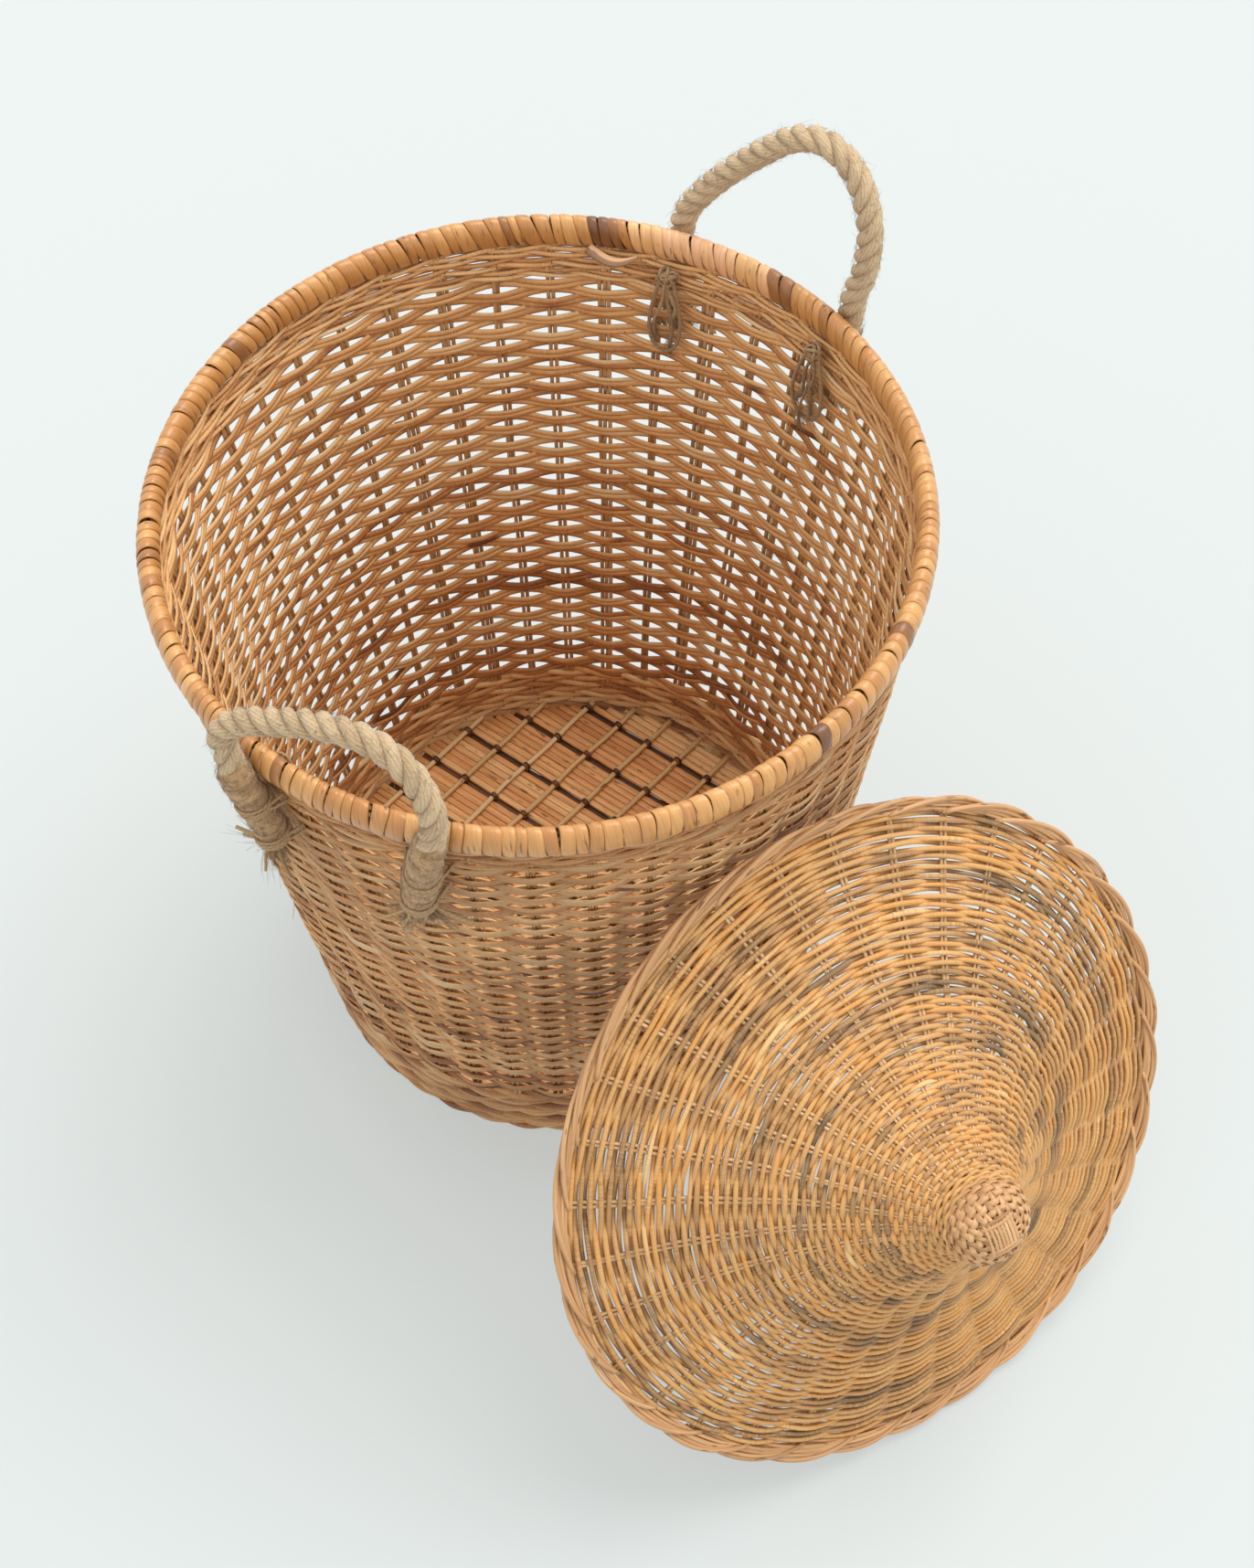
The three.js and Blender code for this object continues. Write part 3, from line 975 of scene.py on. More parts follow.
    def build(self, materials: Materials) -> None:
        """Make the wall's pieces.

        Args:
            materials: the finishes by name.
        """
        rng = np.random.default_rng(self.seed)
        cane = materials["wall_cane"]
        heights = np.arange(self.row_bottom + self.row_pitch / 2, self.row_top, self.row_pitch)
        half = len(heights) // 2
        lower, upper = self.rows(rng, heights[:half], 0), self.rows(rng, heights[half:], half)
        make_piece("wall_weave_lower", lower, cane, Body.BASKET)
        make_piece("wall_weave_upper", upper, cane, Body.BASKET, ("wall_weave",))
        make_piece("wall_stakes", self.uprights(rng), materials["stake_cane"], Body.BASKET)
        make_piece("loose_slivers", self.slivers(rng, self.sliver_count), cane, Body.BASKET)
        top = np.arange(*self.top_rows)
        waling = self.twined(rng, top, self.lines.middle(top), self.top_strand, 2.1 * MM, 0.5)
        make_piece("top_twining", waling, cane, Body.BASKET, ("top_waling",))
        low = np.arange(*self.base_rows)
        middle = self.lines.outside(low) - self.base_inset
        base = self.twined(rng, low, middle, self.base_strand, 1.7 * MM, 0.46)
        make_piece("base_twining", base, cane, Body.BASKET, ("base_waling",))


@dataclass
class Rim:
    """Two hoops over the wall's edge, wrapped in flat cane peel."""

    lines: BasketLines
    radius: float = 218.7 * MM
    level: float = 439.1 * MM
    half_width: float = 6.0 * MM
    half_height: float = 10.6 * MM
    turns: int = 188
    steps: int = 22
    seed: int = 23

    def wrap(self, rng: Random) -> Surface:
        """Wind the peel as one long band.

        At the angle w round the rim's oval section, which starts underneath and goes up the inside, the
        point is radius - (half_width + d) * sin(w), level - (half_height + d) * cos(w). Meanwhile the band
        moves on round the rim by one turn's width. d is the band's own profile: crowned, with its later
        edge lifted over the next turn.

        Args:
            rng: the source of chance.

        Returns:
            The band's surface.
        """
        widths = np.clip(rng.lognormal(0.0, 0.26, self.turns + 2), 0.6, 1.7)
        edges = np.concatenate([[0], np.cumsum(widths)]) / np.sum(widths[: self.turns]) * TURN
        turn = np.repeat(np.arange(self.turns), self.steps)
        share = np.tile(np.arange(self.steps) / self.steps, self.turns)
        first = edges[turn] * (1 - share) + edges[turn + 1] * share
        last = edges[turn + 1] * (1 - share) + edges[turn + 2] * share
        lean = (rng.normal(1.9, 0.7, self.turns) * MM / self.radius)[turn]
        slant = -lean * np.cos(TURN * share)
        across = np.array([1.06, 0.9, 0.45, 0.0, -0.45, -0.88, -1.0, -0.9, 0.0, 0.95])
        profile = np.array([-0.35, 0.2, 0.5, 0.52, 0.42, 0.1, -0.55, -0.75, -0.6, -0.6]) * MM
        rise = (rng.uniform(-0.15, 0.35, self.turns) * MM)[turn]
        angle = (first + last)[:, None] / 2 + (last - first)[:, None] / 2 * across + slant[:, None]
        d = profile + rise[:, None] * (across + 0.4)
        winding = TURN * share[:, None]
        radius = self.radius - (self.half_width + d) * np.sin(winding)
        height = self.level - (self.half_height + d) * np.cos(winding)
        points = self.lines.place(angle, radius, height)
        wound = 56 * MM * (turn + share)[:, None]
        sideways = (angle - first[:, None]) * self.radius
        strand = np.stack(np.broadcast_arrays(wound, sideways, d), axis=-1)
        tints = np.broadcast_to(self.tints(rng, edges)[turn][:, None], angle.shape)
        quads, caps = ring_faces(1, len(turn), len(across), False)
        return Surface(points.reshape(-1, 3), quads, caps, strand.reshape(-1, 3), tints.ravel())

    def tints(self, rng: Random, edges: Array) -> Array:
        """Give each turn its tint: mostly tan, fresh and pinkish along the back, brown at a few joins.

        Args:
            rng: the source of chance.
            edges: the angles at which the turns start.

        Returns:
            A tint for each turn.
        """
        middle = np.degrees((edges[: self.turns] + edges[1 : self.turns + 1]) / 2) % 360
        tint = 0.46 + 0.1 * rng.normal(size=self.turns)
        old = np.exp(-(((middle - 118) / 34) ** 2))
        tint = tint - 0.13 * old * np.abs(rng.normal(size=self.turns))
        fresh = (middle > 14) & (middle < 40)
        tint = np.where(fresh, 0.9 + 0.07 * rng.normal(size=self.turns), tint)
        joins = ((middle > 40) & (middle < 47)) | ((middle > 12.4) & (middle < 14))
        brown = joins | (rng.random(self.turns) < 0.03)
        return np.clip(np.where(brown, 0.17 + 0.07 * rng.normal(size=self.turns), tint), 0.03, 1)

    def loose_end(self) -> Surface:
        """Curl the peel's free end out of the wrap, inside the rim: a short band that droops and lifts.

        Returns:
            The end's surface.
        """
        t = np.linspace(0, 1, 14)
        angle = np.radians(47.5 - 8.5 * t)
        radius = self.radius - self.half_width - (0.8 + 5.5 * np.sin(np.pi * t * 0.85)) * MM
        height = self.level - (7.5 + 4.5 * np.sin(np.pi * t)) * MM
        path = self.lines.place(angle, radius, height)[None]
        width = (3.6 - 2.6 * t**3)[None] * MM
        facing = self.lines.facing(angle)[None] * -0.75 + UP * 0.65
        return sweep(path, facing, width, 0.35 * MM, 0.95, sides=8)

    def build(self, materials: Materials) -> None:
        """Make the rim's pieces, and dress the hoops under the wrap.

        Args:
            materials: the finishes by name.
        """
        wrap = self.wrap(np.random.default_rng(self.seed))
        peel = materials["rim_peel"]
        nodes = tuple(f"rim_wrap_{i}" for i in range(1, 5))
        make_piece("rim_peel_wrap", wrap, peel, Body.BASKET, nodes)
        make_piece("rim_peel_end", self.loose_end(), peel, Body.BASKET)
        for node in ("rim_hoop_inner", "rim_hoop_outer"):
            dress(node, materials["straw_cane"])


def dress(node: str, material: Material) -> None:
    """Give one of the frame's own nodes a finish.

    Args:
        node: the node's name.
        material: its finish.
    """
    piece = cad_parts[node]
    piece.data.materials.clear()
    piece.data.materials.append(material)


@dataclass
class Floor:
    """Bands of narrow slats, thin rods over them, dark binding rings where they cross, and dark strips of
    painted shade that close the gaps between bands.
    """

    lines: BasketLines
    radius: float = 156.8 * MM
    bands: int = 10
    band_pitch: float = 32.4 * MM
    band_width: float = 28.5 * MM
    slats_per_band: int = 6
    slat_height: float = 30.2 * MM
    slat_angle: float = -72.0
    rods: int = 12
    rod_pitch: float = 25.5 * MM
    rod_height: float = 34.0 * MM
    rod_angle: float = 13.3
    rod_radius: float = 1.75 * MM
    bearers: int = 3
    seed: int = 37

    def directions(self, degrees: float) -> tuple[Array, Array]:
        """The direction at an angle, and the level direction to its left."""
        a = np.radians(degrees)
        return np.array([np.cos(a), np.sin(a), 0.0]), np.array([-np.sin(a), np.cos(a), 0.0])

    def half_chord(self, offset: Array) -> Array:
        """Half the length of the floor circle's chord at a distance from the axis."""
        return np.sqrt(np.maximum(self.radius**2 - offset**2, 1e-8))

    def chords(self, offsets: Array, height: float, degrees: float, steps: int, inset: Values) -> Array:
        """Lay straight lines across the floor's circle.

        Args:
            offsets: each line's distance from the axis, to its left.
            height: the lines' height.
            degrees: the direction that they run.
            steps: points on each.
            inset: how far short of the circle they end, one value or one for each.

        Returns:
            The lines, [line, step, xyz].
        """
        along, left = self.directions(degrees)
        half = self.half_chord(offsets) - inset
        t = np.linspace(-1, 1, steps)
        flat = half[:, None, None] * t[None, :, None] * along + offsets[:, None, None] * left
        return flat + self.lines.axis + UP * height

    def slats(self, rng: Random) -> Surface:
        """Lay the slats, side by side in bands, each cut where its outer edge meets the circle.

        Args:
            rng: the source of chance.

        Returns:
            The slats' surface.
        """
        band = np.repeat(np.arange(self.bands), self.slats_per_band)
        slat = np.tile(np.arange(self.slats_per_band), self.bands)
        pitch = self.band_width / self.slats_per_band
        middle = (band - (self.bands - 1) / 2) * self.band_pitch
        offset = middle + (slat - (self.slats_per_band - 1) / 2) * pitch
        kept = np.abs(offset) + pitch / 2 < self.radius - 2 * MM
        offset, band = offset[kept], band[kept]
        inset = self.half_chord(offset) - self.half_chord(np.abs(offset) + pitch / 2)
        paths = self.chords(offset, self.slat_height, self.slat_angle, 16, inset)
        paths[..., 2] += 0.25 * MM * waves(rng, len(offset), np.linspace(0, TURN, 16), range(1, 4))
        half = pitch / 2 * rng.uniform(0.9, 0.99, len(offset))[:, None]
        tint = 0.5 + 0.13 * rng.normal(size=len(offset)) + 0.12 * rng.normal(size=self.bands)[band]
        return sweep(paths, UP, half, 1.2 * MM, tint, sides=8, squareness=0.45)

    def build(self, materials: Materials) -> None:
        """Make the floor's pieces, and dress the bearers under it.

        Args:
            materials: the finishes by name.
        """
        rng = np.random.default_rng(self.seed)
        slats = tuple(f"floor_slats_{i}" for i in range(1, self.bands + 1))
        make_piece("floor_slats", self.slats(rng), materials["slat_cane"], Body.BASKET, slats)
        offset = (np.arange(self.rods) - (self.rods - 1) / 2) * self.rod_pitch
        paths = self.chords(offset, self.rod_height, self.rod_angle, 40, 1.0 * MM)
        _, left = self.directions(self.rod_angle)
        bend = 0.5 * MM * waves(rng, self.rods, np.linspace(0, TURN, 40), range(1, 5))
        tint = 0.5 + 0.16 * rng.normal(size=self.rods)
        size = self.rod_radius
        rods = sweep(paths + bend[..., None] * left, UP, size, size, tint, sides=8, squareness=1.0)
        nodes = tuple(f"floor_rod_{i}" for i in range(1, self.rods + 1))
        make_piece("floor_rods", rods, materials["straw_cane"], Body.BASKET, nodes)
        ties_and_gap_shade = self.bindings_and_gap_shade(rng, offset)
        make_piece("floor_bindings_and_gap_shade", ties_and_gap_shade, materials["dark_binding_and_gap_shade"], Body.BASKET)
        for i in range(1, self.bearers + 1):
            dress(f"floor_bearer_{i}", materials["straw_cane"])

    def bindings_and_gap_shade(self, rng: Random, rod_offsets: Array) -> Surface:
        """Tie the rods down where they pass over a gap between bands, and close each gap with painted shade.

        A binding is a ring round the rod, in the upright plane along the gap. A flat dark strip lies the
        length of each gap, just under the rods, and closes it: painted shade under the floor.

        Args:
            rng: the source of chance.
            rod_offsets: each rod's distance from the axis.

        Returns:
            The binding rings' surface and that of the painted shade strips.
        """
        gap_offsets = (np.arange(self.bands - 1) - (self.bands - 2) / 2) * self.band_pitch
        rod_along, rod_left = self.directions(self.rod_angle)
        _, gap_left = self.directions(self.slat_angle)
        system = np.array([rod_left[:2], gap_left[:2]])
        wanted = np.stack(np.meshgrid(rod_offsets, gap_offsets, indexing="ij"), axis=-1).reshape(-1, 2)
        crossing = np.linalg.solve(system[None], wanted[..., None])[..., 0]
        crossing = crossing[np.hypot(crossing[:, 0], crossing[:, 1]) < self.radius - 5 * MM]
        a = np.linspace(0, TURN, 10, endpoint=False)
        centre = np.pad(crossing, ((0, 0), (0, 1))) + self.lines.axis + UP * (self.rod_height - 0.9 * MM)
        ring = np.cos(a)[:, None] * rod_left * 2.6 * MM + np.sin(a)[:, None] * UP * 2.9 * MM
        loops = [
            sweep(
                centre[:, None] + ring + rod_along * shift,
                unit(ring),
                0.9 * MM,
                0.5 * MM,
                rng.random(len(centre)),
                closed=True,
            )
            for shift in (-1.1 * MM, 1.0 * MM)
        ]
        # flat dark strips that close the gaps between bands: painted shade under the floor
        gap_shade_strips = self.chords(gap_offsets, self.slat_height - 1.7 * MM, self.slat_angle, 30, 3 * MM)
        bend = 0.25 * MM * waves(rng, len(gap_offsets), np.linspace(0, TURN, 30), range(2, 9))
        gap_shade_strips += bend[..., None] * gap_left
        tint = 0.7 * rng.random(len(gap_offsets))
        return joined(*loops, sweep(gap_shade_strips, UP, 2.7 * MM, 0.5 * MM, tint, squareness=0.6))


# ---- rope handles ----


@dataclass(frozen=True)
class HandleRoute:
    """Where a handle goes: its legs' angles, its lean, and the points of its loop.

    leg_angles holds each leg's degrees at its hinge and at its lower end. loop holds points as
    (along the chord from its middle, up the loop's own plane), in millimetres.
    """

    body: Body
    leg_angles: tuple[tuple[float, float], tuple[float, float]]
    lean: float
    loop: tuple[tuple[float, float], ...]
    sleeve_tops: tuple[float, float]


BACK_HANDLE = HandleRoute(
    Body.BACK_HANDLE,
    ((34.0, 33.4), (3.7, 5.0)),
    8.0,
    (
        (-57, 9),
        (-48, 26),
        (-32, 49),
        (-11, 74),
        (8, 93),
        (27, 101),
        (46, 95),
        (59, 78),
        (66, 54),
        (66, 26),
        (62, 9),
    ),
    (428 * MM, 428 * MM),
)
FRONT_HANDLE = HandleRoute(
    Body.FRONT_HANDLE,
    ((192.5, 195.5), (221.5, 218.0)),
    -5.0,
    (
        (-61, 9),
        (-64, 24),
        (-53, 41),
        (-25, 58),
        (2, 70),
        (25, 74),
        (43, 69),
        (56, 56),
        (63, 38),
        (64, 22),
        (61, 9),
    ),
    (448 * MM, 458 * MM),
)


@dataclass
class RopeHandle:
    """One handle: a laid rope bent into a loop, its jute sleeves, lashings, frayed ends and knots."""

    lines: BasketLines
    route: HandleRoute
    seed: int
    rope_radius: float = 8 * MM
    strand_radius: float = 3.9 * MM
    strand_centre: float = 4.2 * MM
    lay: float = 35 * MM
    leg_radius: float = 8.5 * MM
    sleeve_radius: float = 9.3 * MM
    leg_clearance: float = 3.2 * MM
    leg_bottom: float = 372 * MM
    leg_straight_top: float = 418 * MM
    hinge_height: float = 446 * MM
    hinge_radius: float = 235 * MM
    lashing_heights: tuple[float, float] = (384 * MM, 414 * MM)
    knot_height: float = 423 * MM
    bend_heights: tuple[float, float] = (438 * MM, 468 * MM)
    rope_hairs: int = 3200
    sleeve_hairs: int = 2200

    def leg_angle(self, leg: int, height: float) -> float:
        """Find a leg's angle, which changes evenly from its lower end to its hinge.

        Args:
            leg: which leg.
            height: the height.

        Returns:
            The angle in radians.
        """
        top, bottom = self.route.leg_angles[leg]
        share = (height - self.leg_bottom) / (self.hinge_height - self.leg_bottom)
        return np.radians(bottom + (top - bottom) * share)

    def level_frame(self, leg: int, height: float) -> tuple[Array, Array]:
        """The level directions away from the axis and to the left of that, at a leg's angle."""
        outward = unit((self.on_wall(leg, height) - self.lines.axis) * (1, 1, 0))
        return outward, np.cross(UP, outward)

    def on_wall(self, leg: int, height: float) -> Array:
        """The middle of a leg where it lies against the wall."""
        radius = self.lines.outside(height) + self.leg_clearance + self.leg_radius
        return self.lines.place(self.leg_angle(leg, height), radius, height)

    def leg_points(self, leg: int) -> Array:
        """Place the points that a leg passes through.

        Args:
            leg: which leg.

        Returns:
            Three points against the wall and one just under the hinge, upwards.
        """
        low = self.leg_bottom + self.leg_radius
        high = self.hinge_height - self.leg_radius - MM
        wall = [self.on_wall(leg, z) for z in (low, (low + self.leg_straight_top) / 2, self.leg_straight_top)]
        return np.array([*wall, self.lines.place(self.leg_angle(leg, high), self.hinge_radius, high)])

    def plane(self) -> tuple[Array, Array, Array]:
        """Find the loop's own plane, which leans outwards from upright about the line through its hinges.

        Returns:
            The middle between the hinges, the direction from the first to the second, and the way up.
        """
        tops = np.radians([top for top, _ in self.route.leg_angles])
        first, second = self.lines.place(tops, self.hinge_radius, self.hinge_height)
        middle = (first + second) / 2
        outward = unit((middle - self.lines.axis) * (1, 1, 0))
        lean = np.radians(self.route.lean)
        return middle, unit(second - first), UP * np.cos(lean) + outward * np.sin(lean)

    def centre_line(self) -> Array:
        """Run the rope's centre line from one leg's lower end over the loop to the other's.

        Returns:
            Its points.
        """
        middle, along, upward = self.plane()
        sideways, up = np.array(self.route.loop).T[:, :, None] * MM
        loop = middle + along * sideways + upward * up
        return smooth_path(np.concatenate([self.leg_points(0), loop, self.leg_points(1)[::-1]]), 1.6 * MM)

    def rope(self, line: Array) -> Surface:
        """Lay three strands round the centre line.

        A strand's centre is line + strand_centre * (E cos f + F sin f), with E the loop plane's normal
        made square to the line, F = tangent x E, and f = 2 pi * length / lay + a third of a turn each.

        Args:
            line: the centre line.

        Returns:
            The strands' surface.
        """
        _, first, second = self.frames(line)
        travelled = np.concatenate([[0], np.cumsum(np.linalg.norm(np.diff(line, axis=0), axis=1))])
        f = TURN * travelled / self.lay + TURN / 3 * np.arange(3)[:, None]
        radial = first * np.cos(f)[..., None] + second * np.sin(f)[..., None]
        paths = line + self.strand_centre * radial
        rng = np.random.default_rng(self.seed)
        size = self.strand_radius * (1 + 0.035 * waves(rng, 3, travelled * 60, range(1, 12, 2)))
        return sweep(paths, radial, size, size, 0.5 + 0.1 * rng.normal(size=3), sides=14, squareness=1.0)

    def frames(self, line: Array) -> tuple[Array, Array, Array]:
        """Find a frame at each point of a line near the loop's plane.

        Args:
            line: the line's points.

        Returns:
            The tangents, the plane's normal made square to each, and the directions square to both.
        """
        _, along, upward = self.plane()
        tangent = unit(np.gradient(line, axis=0))
        normal = np.cross(along, upward)
        first = unit(normal - tangent * np.sum(tangent * normal, axis=-1, keepdims=True))
        return tangent, first, np.cross(tangent, first)

    def hairs(self, rng: Random, line: Array, count: int, radius: float, reach: float) -> Surface:
        """Scatter short bent fibres over a rope or a sleeve.

        A fibre starts on the surface, leaves at a slant, and bends back: root + length * (t * D + t^2 * B).

        Args:
            rng: the source of chance.
            line: the centre line of what they grow on.
            count: how many.
            radius: where their roots are.
            reach: a long fibre's length.

        Returns:
            The fibres' surface.
        """
        tangent, first, second = self.frames(line)
        at = rng.integers(1, len(line) - 1, count)
        f = rng.uniform(0, TURN, count)[:, None]
        radial = first[at] * np.cos(f) + second[at] * np.sin(f)
        sideways = np.cross(tangent[at], radial)
        lean = rng.normal(size=(count, 2))
        start = radial * rng.uniform(0.15, 0.75, (count, 1))
        start = start + tangent[at] * lean[:, :1] + sideways * lean[:, 1:]
        bend = -radial * rng.uniform(0.0, 0.5, (count, 1)) + 0.5 * tangent[at] * rng.normal(size=(count, 1))
        length = reach * rng.uniform(0.25, 1, (count, 1, 1)) ** 1.6
        t = np.linspace(0, 1, 5)[None, :, None]
        root = line[at] + radial * radius
        paths = root[:, None] + length * (t * unit(start)[:, None] + t**2 * bend[:, None])
        thick = 0.11 * MM * (1 - 0.7 * t[..., 0])
        tint = rng.uniform(0.3, 1, count)
        return sweep(paths, radial[:, None], thick, thick, tint, sides=3, squareness=1.0)

    def sleeve(self, rng: Random, leg: int) -> tuple[Surface, Array]:
        """Pull a matted jute sleeve over a leg: a lumpy tube with drawn-in ends.

        Args:
            rng: the source of chance.
            leg: which leg.

        Returns:
            The sleeve's surface, and its centre line.
        """
        line = self.centre_line()[:: 1 if leg == 0 else -1]
        line = line[: int(np.argmax(line[:, 2] > self.route.sleeve_tops[leg])) + 1]
        sides = 20
        t = np.linspace(0, 1, len(line))
        ends = np.clip(np.minimum(t, 1 - t) * len(line) / 4, 0, 1) ** 0.5
        lumps = 0.45 * MM * waves(rng, 1, t * 20, range(1, 9))
        size = (self.sleeve_radius + lumps) * (0.78 + 0.22 * ends)
        _, first, _ = self.frames(line)
        surface = sweep(line[None], first[None], size, size, 0.45, sides=sides, squareness=1.0)
        rough = 0.28 * MM * rng.normal(size=(len(surface.points), 1))
        surface.points += unit(surface.points - np.repeat(line, sides, axis=0)) * rough
        return surface, line

    def lashing(self, rng: Random, leg: int, height: float) -> Surface:
        """Wind twine round a leg and tie it back to the wall.

        The turns are a helix round the leg, with a radius that changes a little on the way. Two strands at
        each side run from it into the wall, bowed outwards.

        Args:
            rng: the source of chance.
            leg: which leg.
            height: the lashing's middle height.

        Returns:
            The twine's surface.
        """
        middle = self.on_wall(leg, height)
        upward = unit(self.on_wall(leg, height + MM) - self.on_wall(leg, height - MM))
        level, _ = self.level_frame(leg, height)
        outward = unit(level - upward * np.dot(level, upward))
        left = np.cross(upward, outward)
        turns = 3.6
        f = np.linspace(0, TURN * turns, 60)
        radius = (self.sleeve_radius + 0.9 * MM) * (1 + 0.02 * np.sin(5.3 * f + rng.uniform(0, TURN)))
        ring = np.cos(f)[:, None] * outward + np.sin(f)[:, None] * left
        rise = 1.9 * (f / TURN - turns / 2) + 0.5 * np.sin(1.7 * f)
        wound = middle + radius[:, None] * ring + rise[:, None] * MM * upward
        parts = [sweep(wound[None], ring[None], 1.0 * MM, 0.95 * MM, 0.55, sides=8, squareness=1.0)]
        t = np.linspace(0, 1, 8)[:, None]
        for side in (-1, 1):
            for shift in (-1.6, 0.9):
                start = middle + left * side * (self.leg_radius + 0.6 * MM) + upward * shift * MM
                end = start - outward * 12 * MM + left * side * rng.uniform(2, 5) * MM + upward * shift * MM
                path = start * (1 - t) + end * t + outward * 1.5 * MM * np.sin(np.pi * t)
                parts.append(sweep(path[None], outward, 0.95 * MM, 0.9 * MM, 0.5, sides=8, squareness=1.0))
        return joined(*parts)

    def frayed_end(self, rng: Random, leg: int) -> Surface:
        """Splay the rope's cut yarns below a leg.

        A yarn is root + length * (t * D + t^2 * B), with D mostly down and B drooping and spreading.

        Args:
            rng: the source of chance.
            leg: which leg.

        Returns:
            The yarns' surface.
        """
        height = self.leg_bottom + 8 * MM
        middle = self.on_wall(leg, height)
        outward, left = self.level_frame(leg, height)
        count, wisps_per_yarn = 30, 11
        f = rng.uniform(-0.75 * np.pi, 0.75 * np.pi, count)[:, None]
        spread = np.cos(f) * outward + np.sin(f) * left
        root = middle + spread * rng.uniform(0.1, 0.75, (count, 1)) * self.leg_radius
        start = spread * rng.uniform(0.0, 0.45, (count, 1)) - UP
        start = unit(start + left * rng.normal(0, 0.3, (count, 1)))
        bend = 0.5 * spread * rng.normal(0.1, 0.5, (count, 1)) + 0.5 * left * rng.normal(size=(count, 1))
        length = rng.uniform(9, 22, (count, 1, 1)) * MM
        t = np.linspace(0, 1, 9)[None, :, None]
        phase = t * rng.uniform(0.4, 1.3, (count, 1, 1)) + rng.random((count, 1, 1))
        curl = 0.12 * left * np.sin(TURN * phase)
        paths = root[:, None] + length * (t * start[:, None] + t**2 * bend[:, None] + t * curl)
        thick = rng.uniform(0.9, 1.75, (count, 1)) * MM * (1 - 0.25 * t[..., 0] ** 2)
        tint = rng.uniform(0.3, 0.95, count)
        yarns = sweep(paths, spread[:, None], thick, thick, tint, sides=7, squareness=1.0)
        wisps = np.repeat(paths, wisps_per_yarn, axis=0)
        scatter = rng.normal(0, 1.5, (len(wisps), 1, 3)) * MM
        wisps = wisps + scatter * (0.6 + t) + rng.normal(0, 0.5, (len(wisps), 1, 3)) * 6 * MM * t**3
        fine = 0.15 * MM * (1 - 0.6 * t[..., 0])
        tint = rng.uniform(0.4, 1, len(wisps))
        return joined(yarns, sweep(wisps, outward, fine, fine, tint, sides=3, squareness=1.0))

    def knot(self, rng: Random, leg: int) -> Surface:
        """Tie the twine inside the wall: a ball of crossing turns, tails that hang, and one drooping loop.

        Args:
            rng: the source of chance.
            leg: which leg.

        Returns:
            The twine's surface.
        """
        height = self.knot_height
        outward, left = self.level_frame(leg, height)
        radius = self.lines.outside(height) - self.lines.thickness - 4.6 * MM
        middle = self.lines.place(self.leg_angle(leg, height), radius, height)
        own = np.stack([outward, left, UP])
        parts = []
        f = np.linspace(0, TURN, 22, endpoint=False)[:, None]
        for _ in range(7):
            axes = np.linalg.qr(rng.normal(size=(3, 3)))[0]
            ring = np.cos(f) * axes[0] + np.sin(f) * axes[1]
            size = np.array([4.2, 5.4, 4.8]) * MM * rng.uniform(0.75, 1.05)
            path = middle + (ring @ own.T * size) @ own + rng.normal(0, 0.8, 3) * MM
            turn = sweep(path[None], ring[None], 1.05 * MM, 1.0 * MM, 0.5, 7, closed=True, squareness=1.0)
            parts.append(turn)
        t = np.linspace(0, 1, 22)[:, None]
        slope = (self.lines.top_radius - self.lines.foot_radius) / self.lines.top_height
        for tail in range(4):
            length = rng.uniform(30, 66) * MM
            sway = rng.uniform(-9, 9) * MM
            reach = rng.uniform(1.5, 4.5) * MM
            curl = reach * np.sin(TURN * t * rng.uniform(0.8, 1.6) + rng.uniform(0, TURN))
            path = middle + left * (sway + curl) * t - (UP + outward * slope) * length * t
            path = path + outward * (1 - 2.5 * np.sin(np.pi * t * rng.uniform(0.7, 1.2))) * MM
            thick = rng.uniform(0.95, 1.4) * MM * (1 + 0.15 * np.sin(17 * t[:, 0] + tail))[None]
            tint = rng.uniform(0.2, 0.7)
            parts.append(sweep(path[None], left, thick, thick, tint, sides=7, squareness=1.0))
            fluff = path[None, -7:] + rng.normal(0, 1.3, (26, 7, 3)).cumsum(axis=1) * 0.6 * MM
            parts.append(sweep(fluff, left, 0.13 * MM, 0.13 * MM, 0.6, sides=3, squareness=1.0))
        g = np.linspace(0, np.pi, 26)[:, None]
        depth = rng.uniform(48, 58) * MM
        wide = rng.uniform(7, 10) * MM
        loop = middle + left * wide * np.cos(g) * (2 * np.sin(g) + 0.4)
        loop = loop - (UP + outward * slope) * depth * np.sin(g)
        parts.append(sweep(loop[None], outward, 1.25 * MM, 1.25 * MM, 0.4, sides=7, squareness=1.0))
        return joined(*parts)

